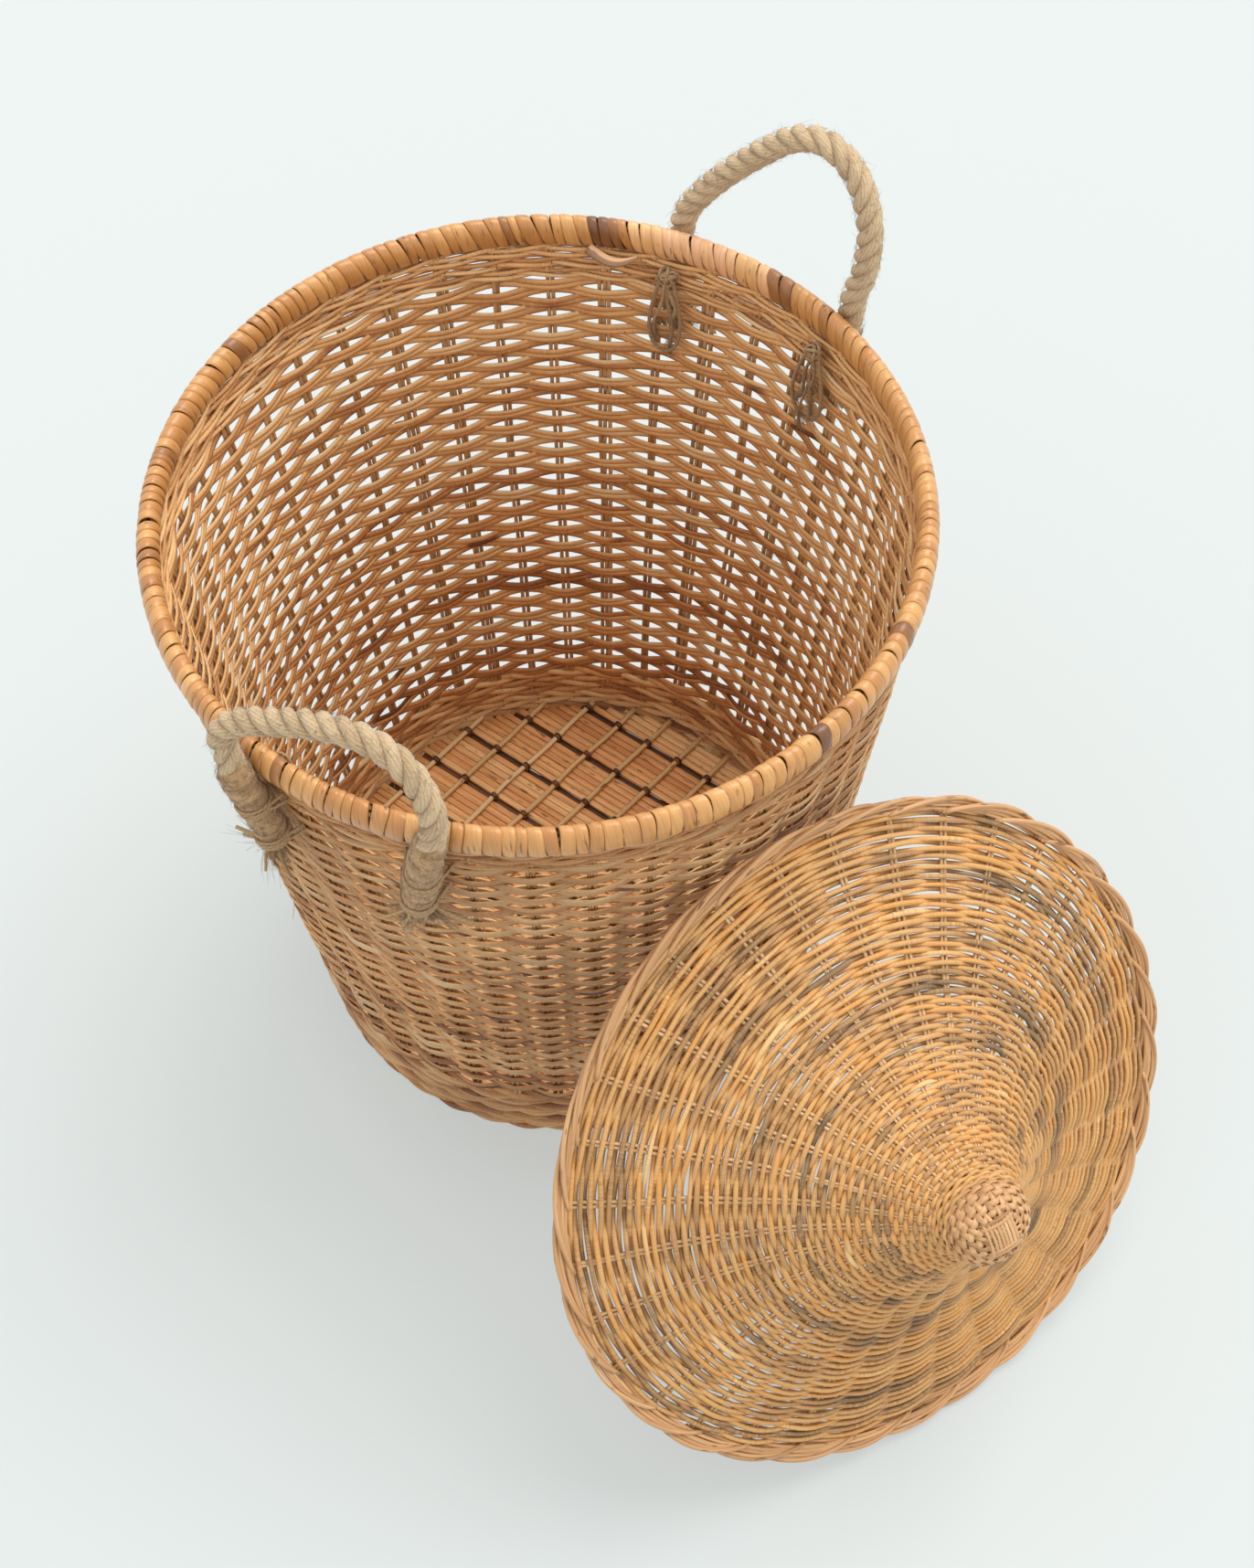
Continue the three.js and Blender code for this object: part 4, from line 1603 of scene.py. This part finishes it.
    def build(self, materials: Materials) -> None:
        """Make the handle's pieces. The rope, its fibres and its sleeves ride on no body.

        Args:
            materials: the finishes by name.
        """
        rng = np.random.default_rng(self.seed)
        name = self.route.body.value
        line = self.centre_line()
        middle, _, _ = self.plane()
        jute, sleeve_jute, twine_jute = (materials[f"{kind}_jute"] for kind in ("rope", "sleeve", "twine"))
        rope = make_piece(f"{name}_rope", self.rope(line), jute, None, (f"{name}_loop",))
        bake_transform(rope)
        fuzz = self.hairs(rng, line, self.rope_hairs, 7.4 * MM, 6.5 * MM)
        hairs = make_piece(f"{name}_fibres", fuzz, jute)
        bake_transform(hairs)
        for leg, number in ((0, 1), (1, 2)):
            sleeve, sleeve_line = self.sleeve(rng, leg)
            cover = joined(sleeve, self.hairs(rng, sleeve_line, self.sleeve_hairs, 9.1 * MM, 5 * MM))
            nodes = (f"{name}_leg_{number}",)
            cover = make_piece(f"{name}_sleeve_{number}", cover, sleeve_jute, None, nodes)
            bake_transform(cover)
            wound = [self.lashing(rng, leg, height) for height in self.lashing_heights]
            twine = joined(*wound, self.frayed_end(rng, leg))
            nodes = (f"{name}_lashing_{number}a", f"{name}_lashing_{number}b")
            make_piece(f"{name}_lashings_{number}", twine, twine_jute, Body.BASKET, nodes)
            knot, nodes = self.knot(rng, leg), (f"{name}_knot_{number}",)
            make_piece(f"{name}_inside_knot_{number}", knot, twine_jute, Body.BASKET, nodes)


# ---- the lid ----


@dataclass
class Lid:
    """The leaning lid: rows of round cane over paired ribs, a braided border, and a plaited knob."""

    lines: BasketLines
    distance: float = 320.5 * MM
    border_height: float = 183.74 * MM
    tilt: float = 60.0
    edge_radius: float = 199.5 * MM
    neck_radius: float = 27 * MM
    straight_rise: float = 62 * MM
    flare: float = 44 * MM
    flare_power: float = 3.5
    edge_lift: float = 2 * MM
    thickness: float = 5.5 * MM
    ribs: int = 32
    row_count: int = 76
    knob_radius: float = 24.6 * MM
    knob_base: float = 108.3 * MM
    knob_collar: float = 118 * MM
    knob_top: float = 136 * MM
    knob_meridians: int = 28
    knob_rings: int = 10
    knob_swing: float = 0.75 * MM
    knob_twist: float = 0.25
    seed: int = 53

    def place(self, angle: Values, radius: Values, height: Values) -> Array:
        """Find points in the lid's own frame, which is turned by tilt about the level direction x.

        Args:
            angle: the angles round the lid's axis.
            radius: the distances from it.
            height: the heights along it.

        Returns:
            The points.
        """
        angle, radius, height = np.broadcast_arrays(angle, radius, height)
        t = np.radians(self.tilt)
        x, y = radius * np.cos(angle), radius * np.sin(angle)
        level = np.stack([x, y * np.cos(t) - height * np.sin(t), y * np.sin(t) + height * np.cos(t)], axis=-1)
        return level + self.lines.axis + np.array([0.0, -self.distance, self.border_height])

    def turn(self, angle: Values, outward: Values, upward: Values) -> Array:
        """A direction given as its outward and upward parts in the lid's frame."""
        return self.place(angle, outward, upward) - self.place(0.0, 0.0, 0.0)

    def surface_height(self, radius: Array) -> Array:
        """The outside's height at a radius: a straight cone, plus a power of the way in, up to the knob."""
        inward = np.clip((self.edge_radius - radius) / (self.edge_radius - self.neck_radius), 0, 1)
        return self.edge_lift + self.straight_rise * inward + self.flare * inward**self.flare_power

    def slope(self, radius: Array) -> Array:
        """How steeply the outside falls away from the axis at a radius."""
        step = 0.2 * MM
        return (self.surface_height(radius - step) - self.surface_height(radius + step)) / (2 * step)

    def normal(self, radius: Array) -> tuple[Array, Array]:
        """The outward and upward parts of the cone's normal: (slope, 1), made of length one."""
        slope = self.slope(radius)
        return slope / np.sqrt(1 + slope**2), 1 / np.sqrt(1 + slope**2)

    def weave_middle(self, radius: Array) -> tuple[Array, Array]:
        """The radius and height of the weave's middle, under the outside's point at a radius."""
        out, up = self.normal(radius)
        return radius - 0.275 * self.thickness * out, self.surface_height(radius) - 0.5 * self.thickness * up

    def row_radii(self) -> Array:
        """Space the rows evenly along the cone's slope.

        Returns:
            Their radii on the outside, from the border inwards.
        """
        radius = np.linspace(self.edge_radius - 1.5 * MM, self.neck_radius + 0.5 * MM, 400)
        height = self.surface_height(radius)
        travelled = np.concatenate([[0], np.cumsum(np.hypot(np.diff(radius), np.diff(height)))])
        return np.interp(np.linspace(0, travelled[-1], self.row_count), travelled, radius)

    def rows(self, rng: Random, chosen: slice) -> Surface:
        """Weave rows of round cane over and under the ribs.

        A row leaves the cone's middle surface along its normal by swing * cos(ribs / 2 * angle + row * pi).

        Args:
            rng: the source of chance.
            chosen: which rows.

        Returns:
            The rows' surface.
        """
        radii = self.row_radii()[chosen]
        number = np.arange(self.row_count)[chosen, None]
        angle = np.linspace(0, TURN, self.ribs * 6, endpoint=False)
        out, up = (part[:, None] for part in self.normal(radii))
        reach = np.interp(radii, [0.04, 0.16], [1.6, 2.3])[:, None] * MM
        reach = reach + 0.14 * MM * waves(rng, len(radii), angle, range(3, 30, 4))
        swing = reach * np.cos(self.ribs / 2 * angle + np.pi * number)
        creep = 0.55 * MM * waves(rng, len(radii), angle, range(2, 20, 3))
        creep = creep * np.minimum(radii / 0.1, 1)[:, None]
        radius, height = (part[:, None] for part in self.weave_middle(radii))
        paths = self.place(angle, radius + swing * out + creep * up, height + swing * up - creep * out)
        facing = self.turn(angle, out, up)
        tint = self.bands(radii) + 0.08 * rng.normal(size=len(radii))
        regions = waves(rng, 14, angle, range(1, 10))
        region = np.linspace(0, 12.99, len(radii))
        below, share = region.astype(int), (region % 1)[:, None]
        tint = tint[:, None] + 0.08 * waves(rng, len(radii), angle, range(1, 8))
        tint += 0.17 * (regions[below] * (1 - share) + regions[below + 1] * share)
        size = 1.66 * MM * (1 + 0.07 * rng.normal(size=len(radii)))[:, None]
        size = size * np.interp(radii, [0.027, 0.07], [1.02, 1.0])[:, None]
        size = size * (1 + 0.06 * waves(rng, len(radii), angle, range(2, 16, 3)))
        return sweep(paths, facing, size, size * 0.92, tint, closed=True, squareness=1.0)

    def collar_rows(self) -> Surface:
        """Carry the weave up the knob's collar in four close rows.

        A row's radius is that of the collar plus swing * cos(ribs / 2 * angle + row * pi).

        Returns:
            The rows' surface.
        """
        number = np.arange(4)[:, None]
        angle = np.linspace(0, TURN, self.ribs * 6, endpoint=False)
        height = self.knob_base + (2.75 * number - 1.6) * MM + 0.3 * MM * np.sin(3 * angle + number)
        swing = 0.75 * MM * np.cos(self.ribs / 2 * angle + np.pi * number + 0.4)
        radius = self.neck_radius + (0.5 - 0.55 * number) * MM + swing
        paths = self.place(angle, radius, height)
        facing = self.turn(angle, 1.0, 0.25)
        tint = 0.55 + 0.12 * np.cos(2 * angle + 1.9 * number)
        return sweep(paths, facing, 1.5 * MM, 1.25 * MM, tint, closed=True, squareness=1.0)

    def bands(self, radius: Array) -> Array:
        """Give the rows their tints: broad golden and grey-brown bands with narrow ones between.

        Args:
            radius: the rows' radii.

        Returns:
            Their tints, a sum of three sines of the radius.
        """
        return (
            0.53
            + 0.1 * np.sin(radius / MM * 0.21 + 0.5)
            + 0.07 * np.sin(radius / MM * 0.083 + 2.2)
            + 0.08 * np.sin(radius / MM * 0.52)
        )

    def rib_rods(self, rng: Random) -> Surface:
        """Run the paired ribs from the border up to the knob, along the middle of the weave.

        Args:
            rng: the source of chance.

        Returns:
            The ribs' surface.
        """
        radius = np.linspace(self.edge_radius + 1 * MM, self.neck_radius - 1 * MM, 40)
        inner, height = self.weave_middle(radius)
        spacing = np.interp(radius, [0.027, 0.09], [0.8, 1.3]) * MM
        rib = np.repeat(np.arange(self.ribs), 2)
        side = np.tile([-1.0, 1.0], self.ribs)[:, None]
        wander = 0.4 * MM * waves(rng, len(rib), np.linspace(0, TURN, 40), range(1, 4))
        angle = TURN * rib[:, None] / self.ribs + (side * spacing + wander) / radius
        size = np.interp(radius, [0.027, 0.09], [0.75, 1.1])[None] * MM
        tint = 0.55 + 0.12 * rng.normal(size=len(rib))
        facing = self.turn(angle, *self.normal(radius))
        return sweep(self.place(angle, inner, height), facing, size, size, tint, squareness=1.0)

    def border(self, rng: Random) -> Surface:
        """Braid the border: at each rib a bundle of four strands springs out, arches over and tucks under.

        Along its way t, a bundle moves on by 2.1 rib spacings, swings outwards by sin(pi * t) and rises over
        its neighbours by a shifted sine. Under the arches run three plain rings.

        Args:
            rng: the source of chance.

        Returns:
            The border's surface.
        """
        strands = 4
        t = np.linspace(0, 1, 22)
        bundle = np.repeat(np.arange(self.ribs), strands)[:, None]
        strand = np.tile(np.arange(strands) - (strands - 1) / 2, self.ribs)[:, None]
        jitter = 0.4 * MM * rng.normal(size=(len(bundle), 1))
        arch = np.sin(np.pi * t) ** 0.75
        spread = strand * 2.55 * MM
        turning = np.radians(-35 + 120 * t)
        radius = self.edge_radius + 5.6 * MM * arch + spread * np.cos(turning) * (0.35 + 0.65 * arch) + jitter
        height = (4.4 * np.sin(np.pi * t) - 2.4 * np.cos(np.pi * t) - 1.5) * MM
        height = height + spread * np.sin(turning) * 0.5
        height = height + 0.3 * MM * waves(rng, len(bundle), t * TURN, range(1, 3))
        angle = TURN / self.ribs * (bundle + 2.1 * t - 0.05 * strand)
        paths = self.place(angle, radius, height)
        facing = self.turn(angle, 0.5, 0.85)
        size = 1.5 * MM * (1 + 0.07 * rng.normal(size=(len(bundle), 1)))
        tints = np.clip(0.52 + 0.1 * rng.normal(size=len(bundle)), 0.2, 0.75)
        arches = sweep(paths, facing, size, size * 0.9, tints, sides=7, squareness=1.0)
        ring = np.linspace(0, TURN, 200, endpoint=False)
        around = np.array([[0.0, -1.5], [3.2, -2.8], [3.0, 0.6]]) * MM
        rings = self.place(ring, self.edge_radius + 2 * MM + around[:, :1], around[:, 1:])
        facing = self.turn(ring, 0.0, 1.0)
        return joined(arches, sweep(rings, facing, 1.7 * MM, 1.7 * MM, 0.35, closed=True, squareness=1.0))

    def knob_profile(self, t: Array) -> tuple[Array, Array]:
        """Find the knob's outline: straight up the collar, then a quarter of an oval.

        Args:
            t: the way up the knob's side, from 0 to 1.

        Returns:
            The radii and the heights.
        """
        collar = 0.3
        rise = np.clip(t / collar, 0, 1)
        quarter = np.clip((t - collar) / (1 - collar), 0, 1) * np.pi / 2
        foot = self.neck_radius - 1.5 * MM
        radius = (foot + (self.knob_radius - foot) * rise) * np.cos(quarter)
        low, dome = self.knob_collar - self.knob_base, self.knob_top - self.knob_collar
        return radius, self.knob_base + low * rise + dome * np.sin(quarter)

    def knob(self, rng: Random) -> Surface:
        """Plait the knob from flat strips: meridians up to its top, and rings over and under them.

        A meridian's height above the knob is swing * cos(its row's phase), a ring's is the opposite. Dark
        flat rings line the plait from inside: painted shade of the knob's hollow.

        Args:
            rng: the source of chance.

        Returns:
            The strips' surface.
        """
        end, thickness, sunk = 0.93, 0.6 * MM, 1.5 * MM
        t = np.linspace(0.0, end, 80)
        radius, height = self.knob_profile(t)
        tangent = unit(np.stack([np.gradient(radius), np.gradient(height)], axis=-1))
        out, up = tangent[:, 1], -tangent[:, 0]
        number = np.arange(self.knob_meridians)[:, None]
        lift = self.knob_swing * np.cos(np.pi * self.knob_rings * t / end + np.pi * number)
        angle = TURN * number / self.knob_meridians + 0.03 * rng.normal(size=number.shape)
        angle = angle + self.knob_twist * t**2
        paths = self.place(angle, radius + lift * out, height + lift * up)
        width = np.clip(np.pi * radius / self.knob_meridians * 0.86, 0.6 * MM, 2.4 * MM)[None]
        tint = 0.5 + 0.16 * rng.normal(size=self.knob_meridians)
        ups = sweep(paths, self.turn(angle, out, up), width, thickness, tint, squareness=0.6)
        turn = np.linspace(0, TURN, self.knob_meridians * 8, endpoint=False)

        def rings(at: Array, lift: Values, angle: Array, width: float, thick: float, tint: Values) -> Surface:
            """Lay flat rings round the knob.

            Args:
                at: each ring's way up the knob's side.
                lift: how far the rings lie above the knob, or below it.
                angle: the angles of their points.
                width: half a ring's width.
                thick: half its thickness.
                tint: the rings' tints.

            Returns:
                The rings' surface.
            """
            radius, height = self.knob_profile(at)
            away, upwards = np.interp(at, t, out), np.interp(at, t, up)
            paths = self.place(angle, np.maximum(radius + lift * away, 1.2 * MM), height + lift * upwards)
            facing = self.turn(angle, away, upwards)
            return sweep(paths, facing, width, thick, tint, closed=True, squareness=0.6)

        at = (np.arange(self.knob_rings)[:, None] + 0.5) / self.knob_rings * end
        phase = self.knob_meridians / 2 * (turn - self.knob_twist * at**2)
        over = -self.knob_swing * np.cos(phase) * np.cos(np.pi * self.knob_rings * at / end + np.pi / 2)
        tint = 0.52 + 0.16 * rng.normal(size=self.knob_rings)
        # dark rings inside the plait: painted shade of the knob's hollow, seen through its gaps
        shade_lining_at = np.linspace(0.0, 0.99, 16)[:, None]
        return joined(
            ups,
            rings(at, over, turn, 1.9 * MM, thickness, tint),
            rings(shade_lining_at, -sunk, turn[::4], 2.2 * MM, 0.4 * MM, 0.1),
        )

    def knob_patch(self, rng: Random) -> Surface:
        """Lay the square patch on the knob: eight strips side by side, crossed by two at each end.

        Args:
            rng: the source of chance.

        Returns:
            The patch's surface.
        """
        count, pitch, thickness = 8, 2.3 * MM, 0.6 * MM
        t = np.linspace(-1, 1, 12)
        offset = (np.arange(count) - (count - 1) / 2)[:, None] * pitch
        aside = np.array([-2.0, 1.2]) * MM

        def strips(x: Array, y: Array, lift: Array) -> Array:
            """Lay strips on the knob's dome, which is half an oval: top - (top - collar) * bow.

            Args:
                x: how far the strips' points are from the knob's middle, to the right.
                y: how far, forwards.
                lift: how far above the dome.

            Returns:
                The strips' centre lines.
            """
            x, y = x + aside[0], y + aside[1]
            bow = 1 - np.sqrt(1 - np.clip((x**2 + y**2) / self.knob_radius**2, 0, 0.95))
            height = self.knob_top + lift - (self.knob_top - self.knob_collar) * bow
            return self.place(np.arctan2(y, x), np.hypot(x, y), height)

        ends = np.array([-10.6, -8.3, 8.3, 10.6])[:, None] * MM
        main = strips(offset, t * 11.2 * MM, 0.95 * MM + 0.12 * MM * rng.normal(size=(count, 1)))
        crossed = strips(t * 10.4 * MM, ends, 1.5 * MM - 0.9 * MM * t**4)
        tint = 0.75 + 0.1 * rng.normal(size=count)
        cross_tint = 0.5 + 0.1 * rng.normal(size=len(ends))
        out = self.turn(0.0, 0.0, 1.0)
        return joined(
            sweep(main, out, 1.07 * MM, thickness, tint, squareness=0.6),
            sweep(crossed, out, 1.0 * MM, thickness, cross_tint, squareness=0.6),
        )

    def build(self, materials: Materials) -> None:
        """Make the lid's pieces.

        Args:
            materials: the finishes by name.
        """
        rng = np.random.default_rng(self.seed)
        cane = materials["lid_cane"]
        half = self.row_count // 2
        rows = self.rows(rng, slice(0, half))
        make_piece("lid_rows_outer", rows, cane, Body.LID, ("lid_weave",))
        inner = joined(self.rows(rng, slice(half, None)), self.collar_rows())
        make_piece("lid_rows_inner", inner, cane, Body.LID)
        edge = materials["border_cane"]
        make_piece("lid_ribs", self.rib_rods(rng), materials["rib_cane"], Body.LID)
        make_piece("lid_border_braid", self.border(rng), edge, Body.LID, ("lid_border",))
        make_piece("lid_knob_plait", self.knob(rng), edge, Body.LID, ("lid_knob",))
        make_piece("lid_knob_strips", self.knob_patch(rng), edge, Body.LID, ("lid_knob_patch",))


# ---- the setting ----


@dataclass
class Studio:
    """The plain pale floor, which glows with painted light that lifts the shadows on it, the soft light and
    the camera, which is placed from the basket's axis.
    """

    lines: BasketLines
    camera_offset: tuple[float, float, float] = (-0.5503, -0.9146, 1.7648)
    camera_right: tuple[float, float, float] = (0.8156, -0.5782, -0.0225)
    camera_up: tuple[float, float, float] = (0.4919, 0.6722, 0.5534)
    camera_forward: tuple[float, float, float] = (0.3049, 0.4624, -0.8326)
    lens: float = 69.23
    light_from: tuple[float, float, float] = (0.46, 0.06, 0.88)
    light_spread: float = 46.0
    light_strength: float = 2.0
    light_colour: tuple[float, float, float] = (1.0, 0.985, 0.96)
    ground_reach: float = 60.0
    ground_paint: Colour = srgb(148, 152, 151)
    ground_painted_glow: Colour = srgb(246, 251, 249)
    ground_painted_glow_strength: float = 0.42
    sky: Colour = srgb(240, 243, 244)
    sky_strength: float = 1.2

    def put(self, name: str, data: bpy.types.ID, axes: Array, place: Array) -> bpy.types.Object:
        """Put a camera or a light into the scene.

        Args:
            name: the object's name.
            data: what it holds.
            axes: its right, its up and its backward direction, in rows.
            place: where it stands.

        Returns:
            The object.
        """
        thing = bpy.data.objects.new(name, data)
        bpy.context.scene.collection.objects.link(thing)
        matrix = np.eye(4)
        matrix[:3, :3] = np.transpose(axes)
        matrix[:3, 3] = place
        thing.matrix_world = Matrix(matrix.tolist())
        return thing

    def camera(self) -> None:
        """Place the camera: it looks steeply down at the basket from in front."""
        data = bpy.data.cameras.new("camera")
        data.lens = self.lens
        axes = np.array([self.camera_right, self.camera_up, -np.array(self.camera_forward)])
        place = self.lines.axis + np.array(self.camera_offset)
        bpy.context.scene.camera = self.put("camera", data, axes, place)

    def soft_light(self) -> None:
        """Add one distant light, as wide as a big window."""
        data = bpy.data.lights.new("key", "SUN")
        data.angle = np.radians(self.light_spread)
        data.energy = self.light_strength
        data.color = self.light_colour
        away = unit(np.array(self.light_from))
        side = unit(np.cross(UP, away))
        self.put("key", data, np.array([side, np.cross(away, side), away]), self.lines.axis + 2 * away)

    def build(self) -> None:
        """Make the floor, the light and the world."""
        bpy.context.scene.view_settings.view_transform = "Standard"
        mesh = bpy.data.meshes.new("ground")
        corners = np.array([(-1, -1, 0), (1, -1, 0), (1, 1, 0), (-1, 1, 0)]) * self.ground_reach
        mesh.from_pydata(corners.tolist(), [], [(0, 1, 2, 3)])
        ground = bpy.data.objects.new("ground", mesh)
        bpy.context.scene.collection.objects.link(ground)
        material = bpy.data.materials.new("ground_paint")
        material.use_nodes = True
        shader = material.node_tree.nodes["Principled BSDF"]
        shader.inputs["Base Color"].default_value = self.ground_paint
        # the floor glows: painted light that lifts its shadows and lights the basket from below
        shader.inputs["Emission Color"].default_value = self.ground_painted_glow
        shader.inputs["Emission Strength"].default_value = self.ground_painted_glow_strength
        shader.inputs["Roughness"].default_value = 0.9
        shader.inputs["Specular IOR Level"].default_value = 0.1
        mesh.materials.append(material)
        world = bpy.data.worlds.new("world")
        world.use_nodes = True
        bpy.context.scene.world = world
        background = world.node_tree.nodes["Background"]
        background.inputs["Color"].default_value = self.sky
        background.inputs["Strength"].default_value = self.sky_strength
        self.soft_light()


def main() -> None:
    """Build the basket, its handles and its lid in the studio."""
    logging.basicConfig(level=logging.INFO, format="%(name)s: %(message)s")
    low, high = (np.array(corner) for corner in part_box("rim_hoop_outer"))
    lines = BasketLines(axis=(low + high) / 2 * np.array([1, 1, 0]))
    studio = Studio(lines)
    studio.camera()
    groups = {tree.name: tree for tree in (cane_fibre_group(), weather_and_shade_group(), jute_yarn_group())}
    canes = (WALL_CANE, STAKE_CANE, PEEL, SLAT_CANE, STRAW, RIB_CANE, BINDING_AND_GAP_SHADE, LID_CANE, BORDER_CANE)
    jutes = (ROPE_JUTE, SLEEVE_JUTE, TWINE_JUTE)
    materials = {finish.name: finish.build(groups) for finish in (*canes, *jutes)}
    RopeHandle(lines, BACK_HANDLE, seed=71).build(materials)
    RopeHandle(lines, FRONT_HANDLE, seed=72).build(materials)
    Floor(lines).build(materials)
    Wall(lines).build(materials)
    Rim(lines).build(materials)
    Lid(lines).build(materials)
    studio.build()
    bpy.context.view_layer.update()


if __name__ == "__main__":
    main()
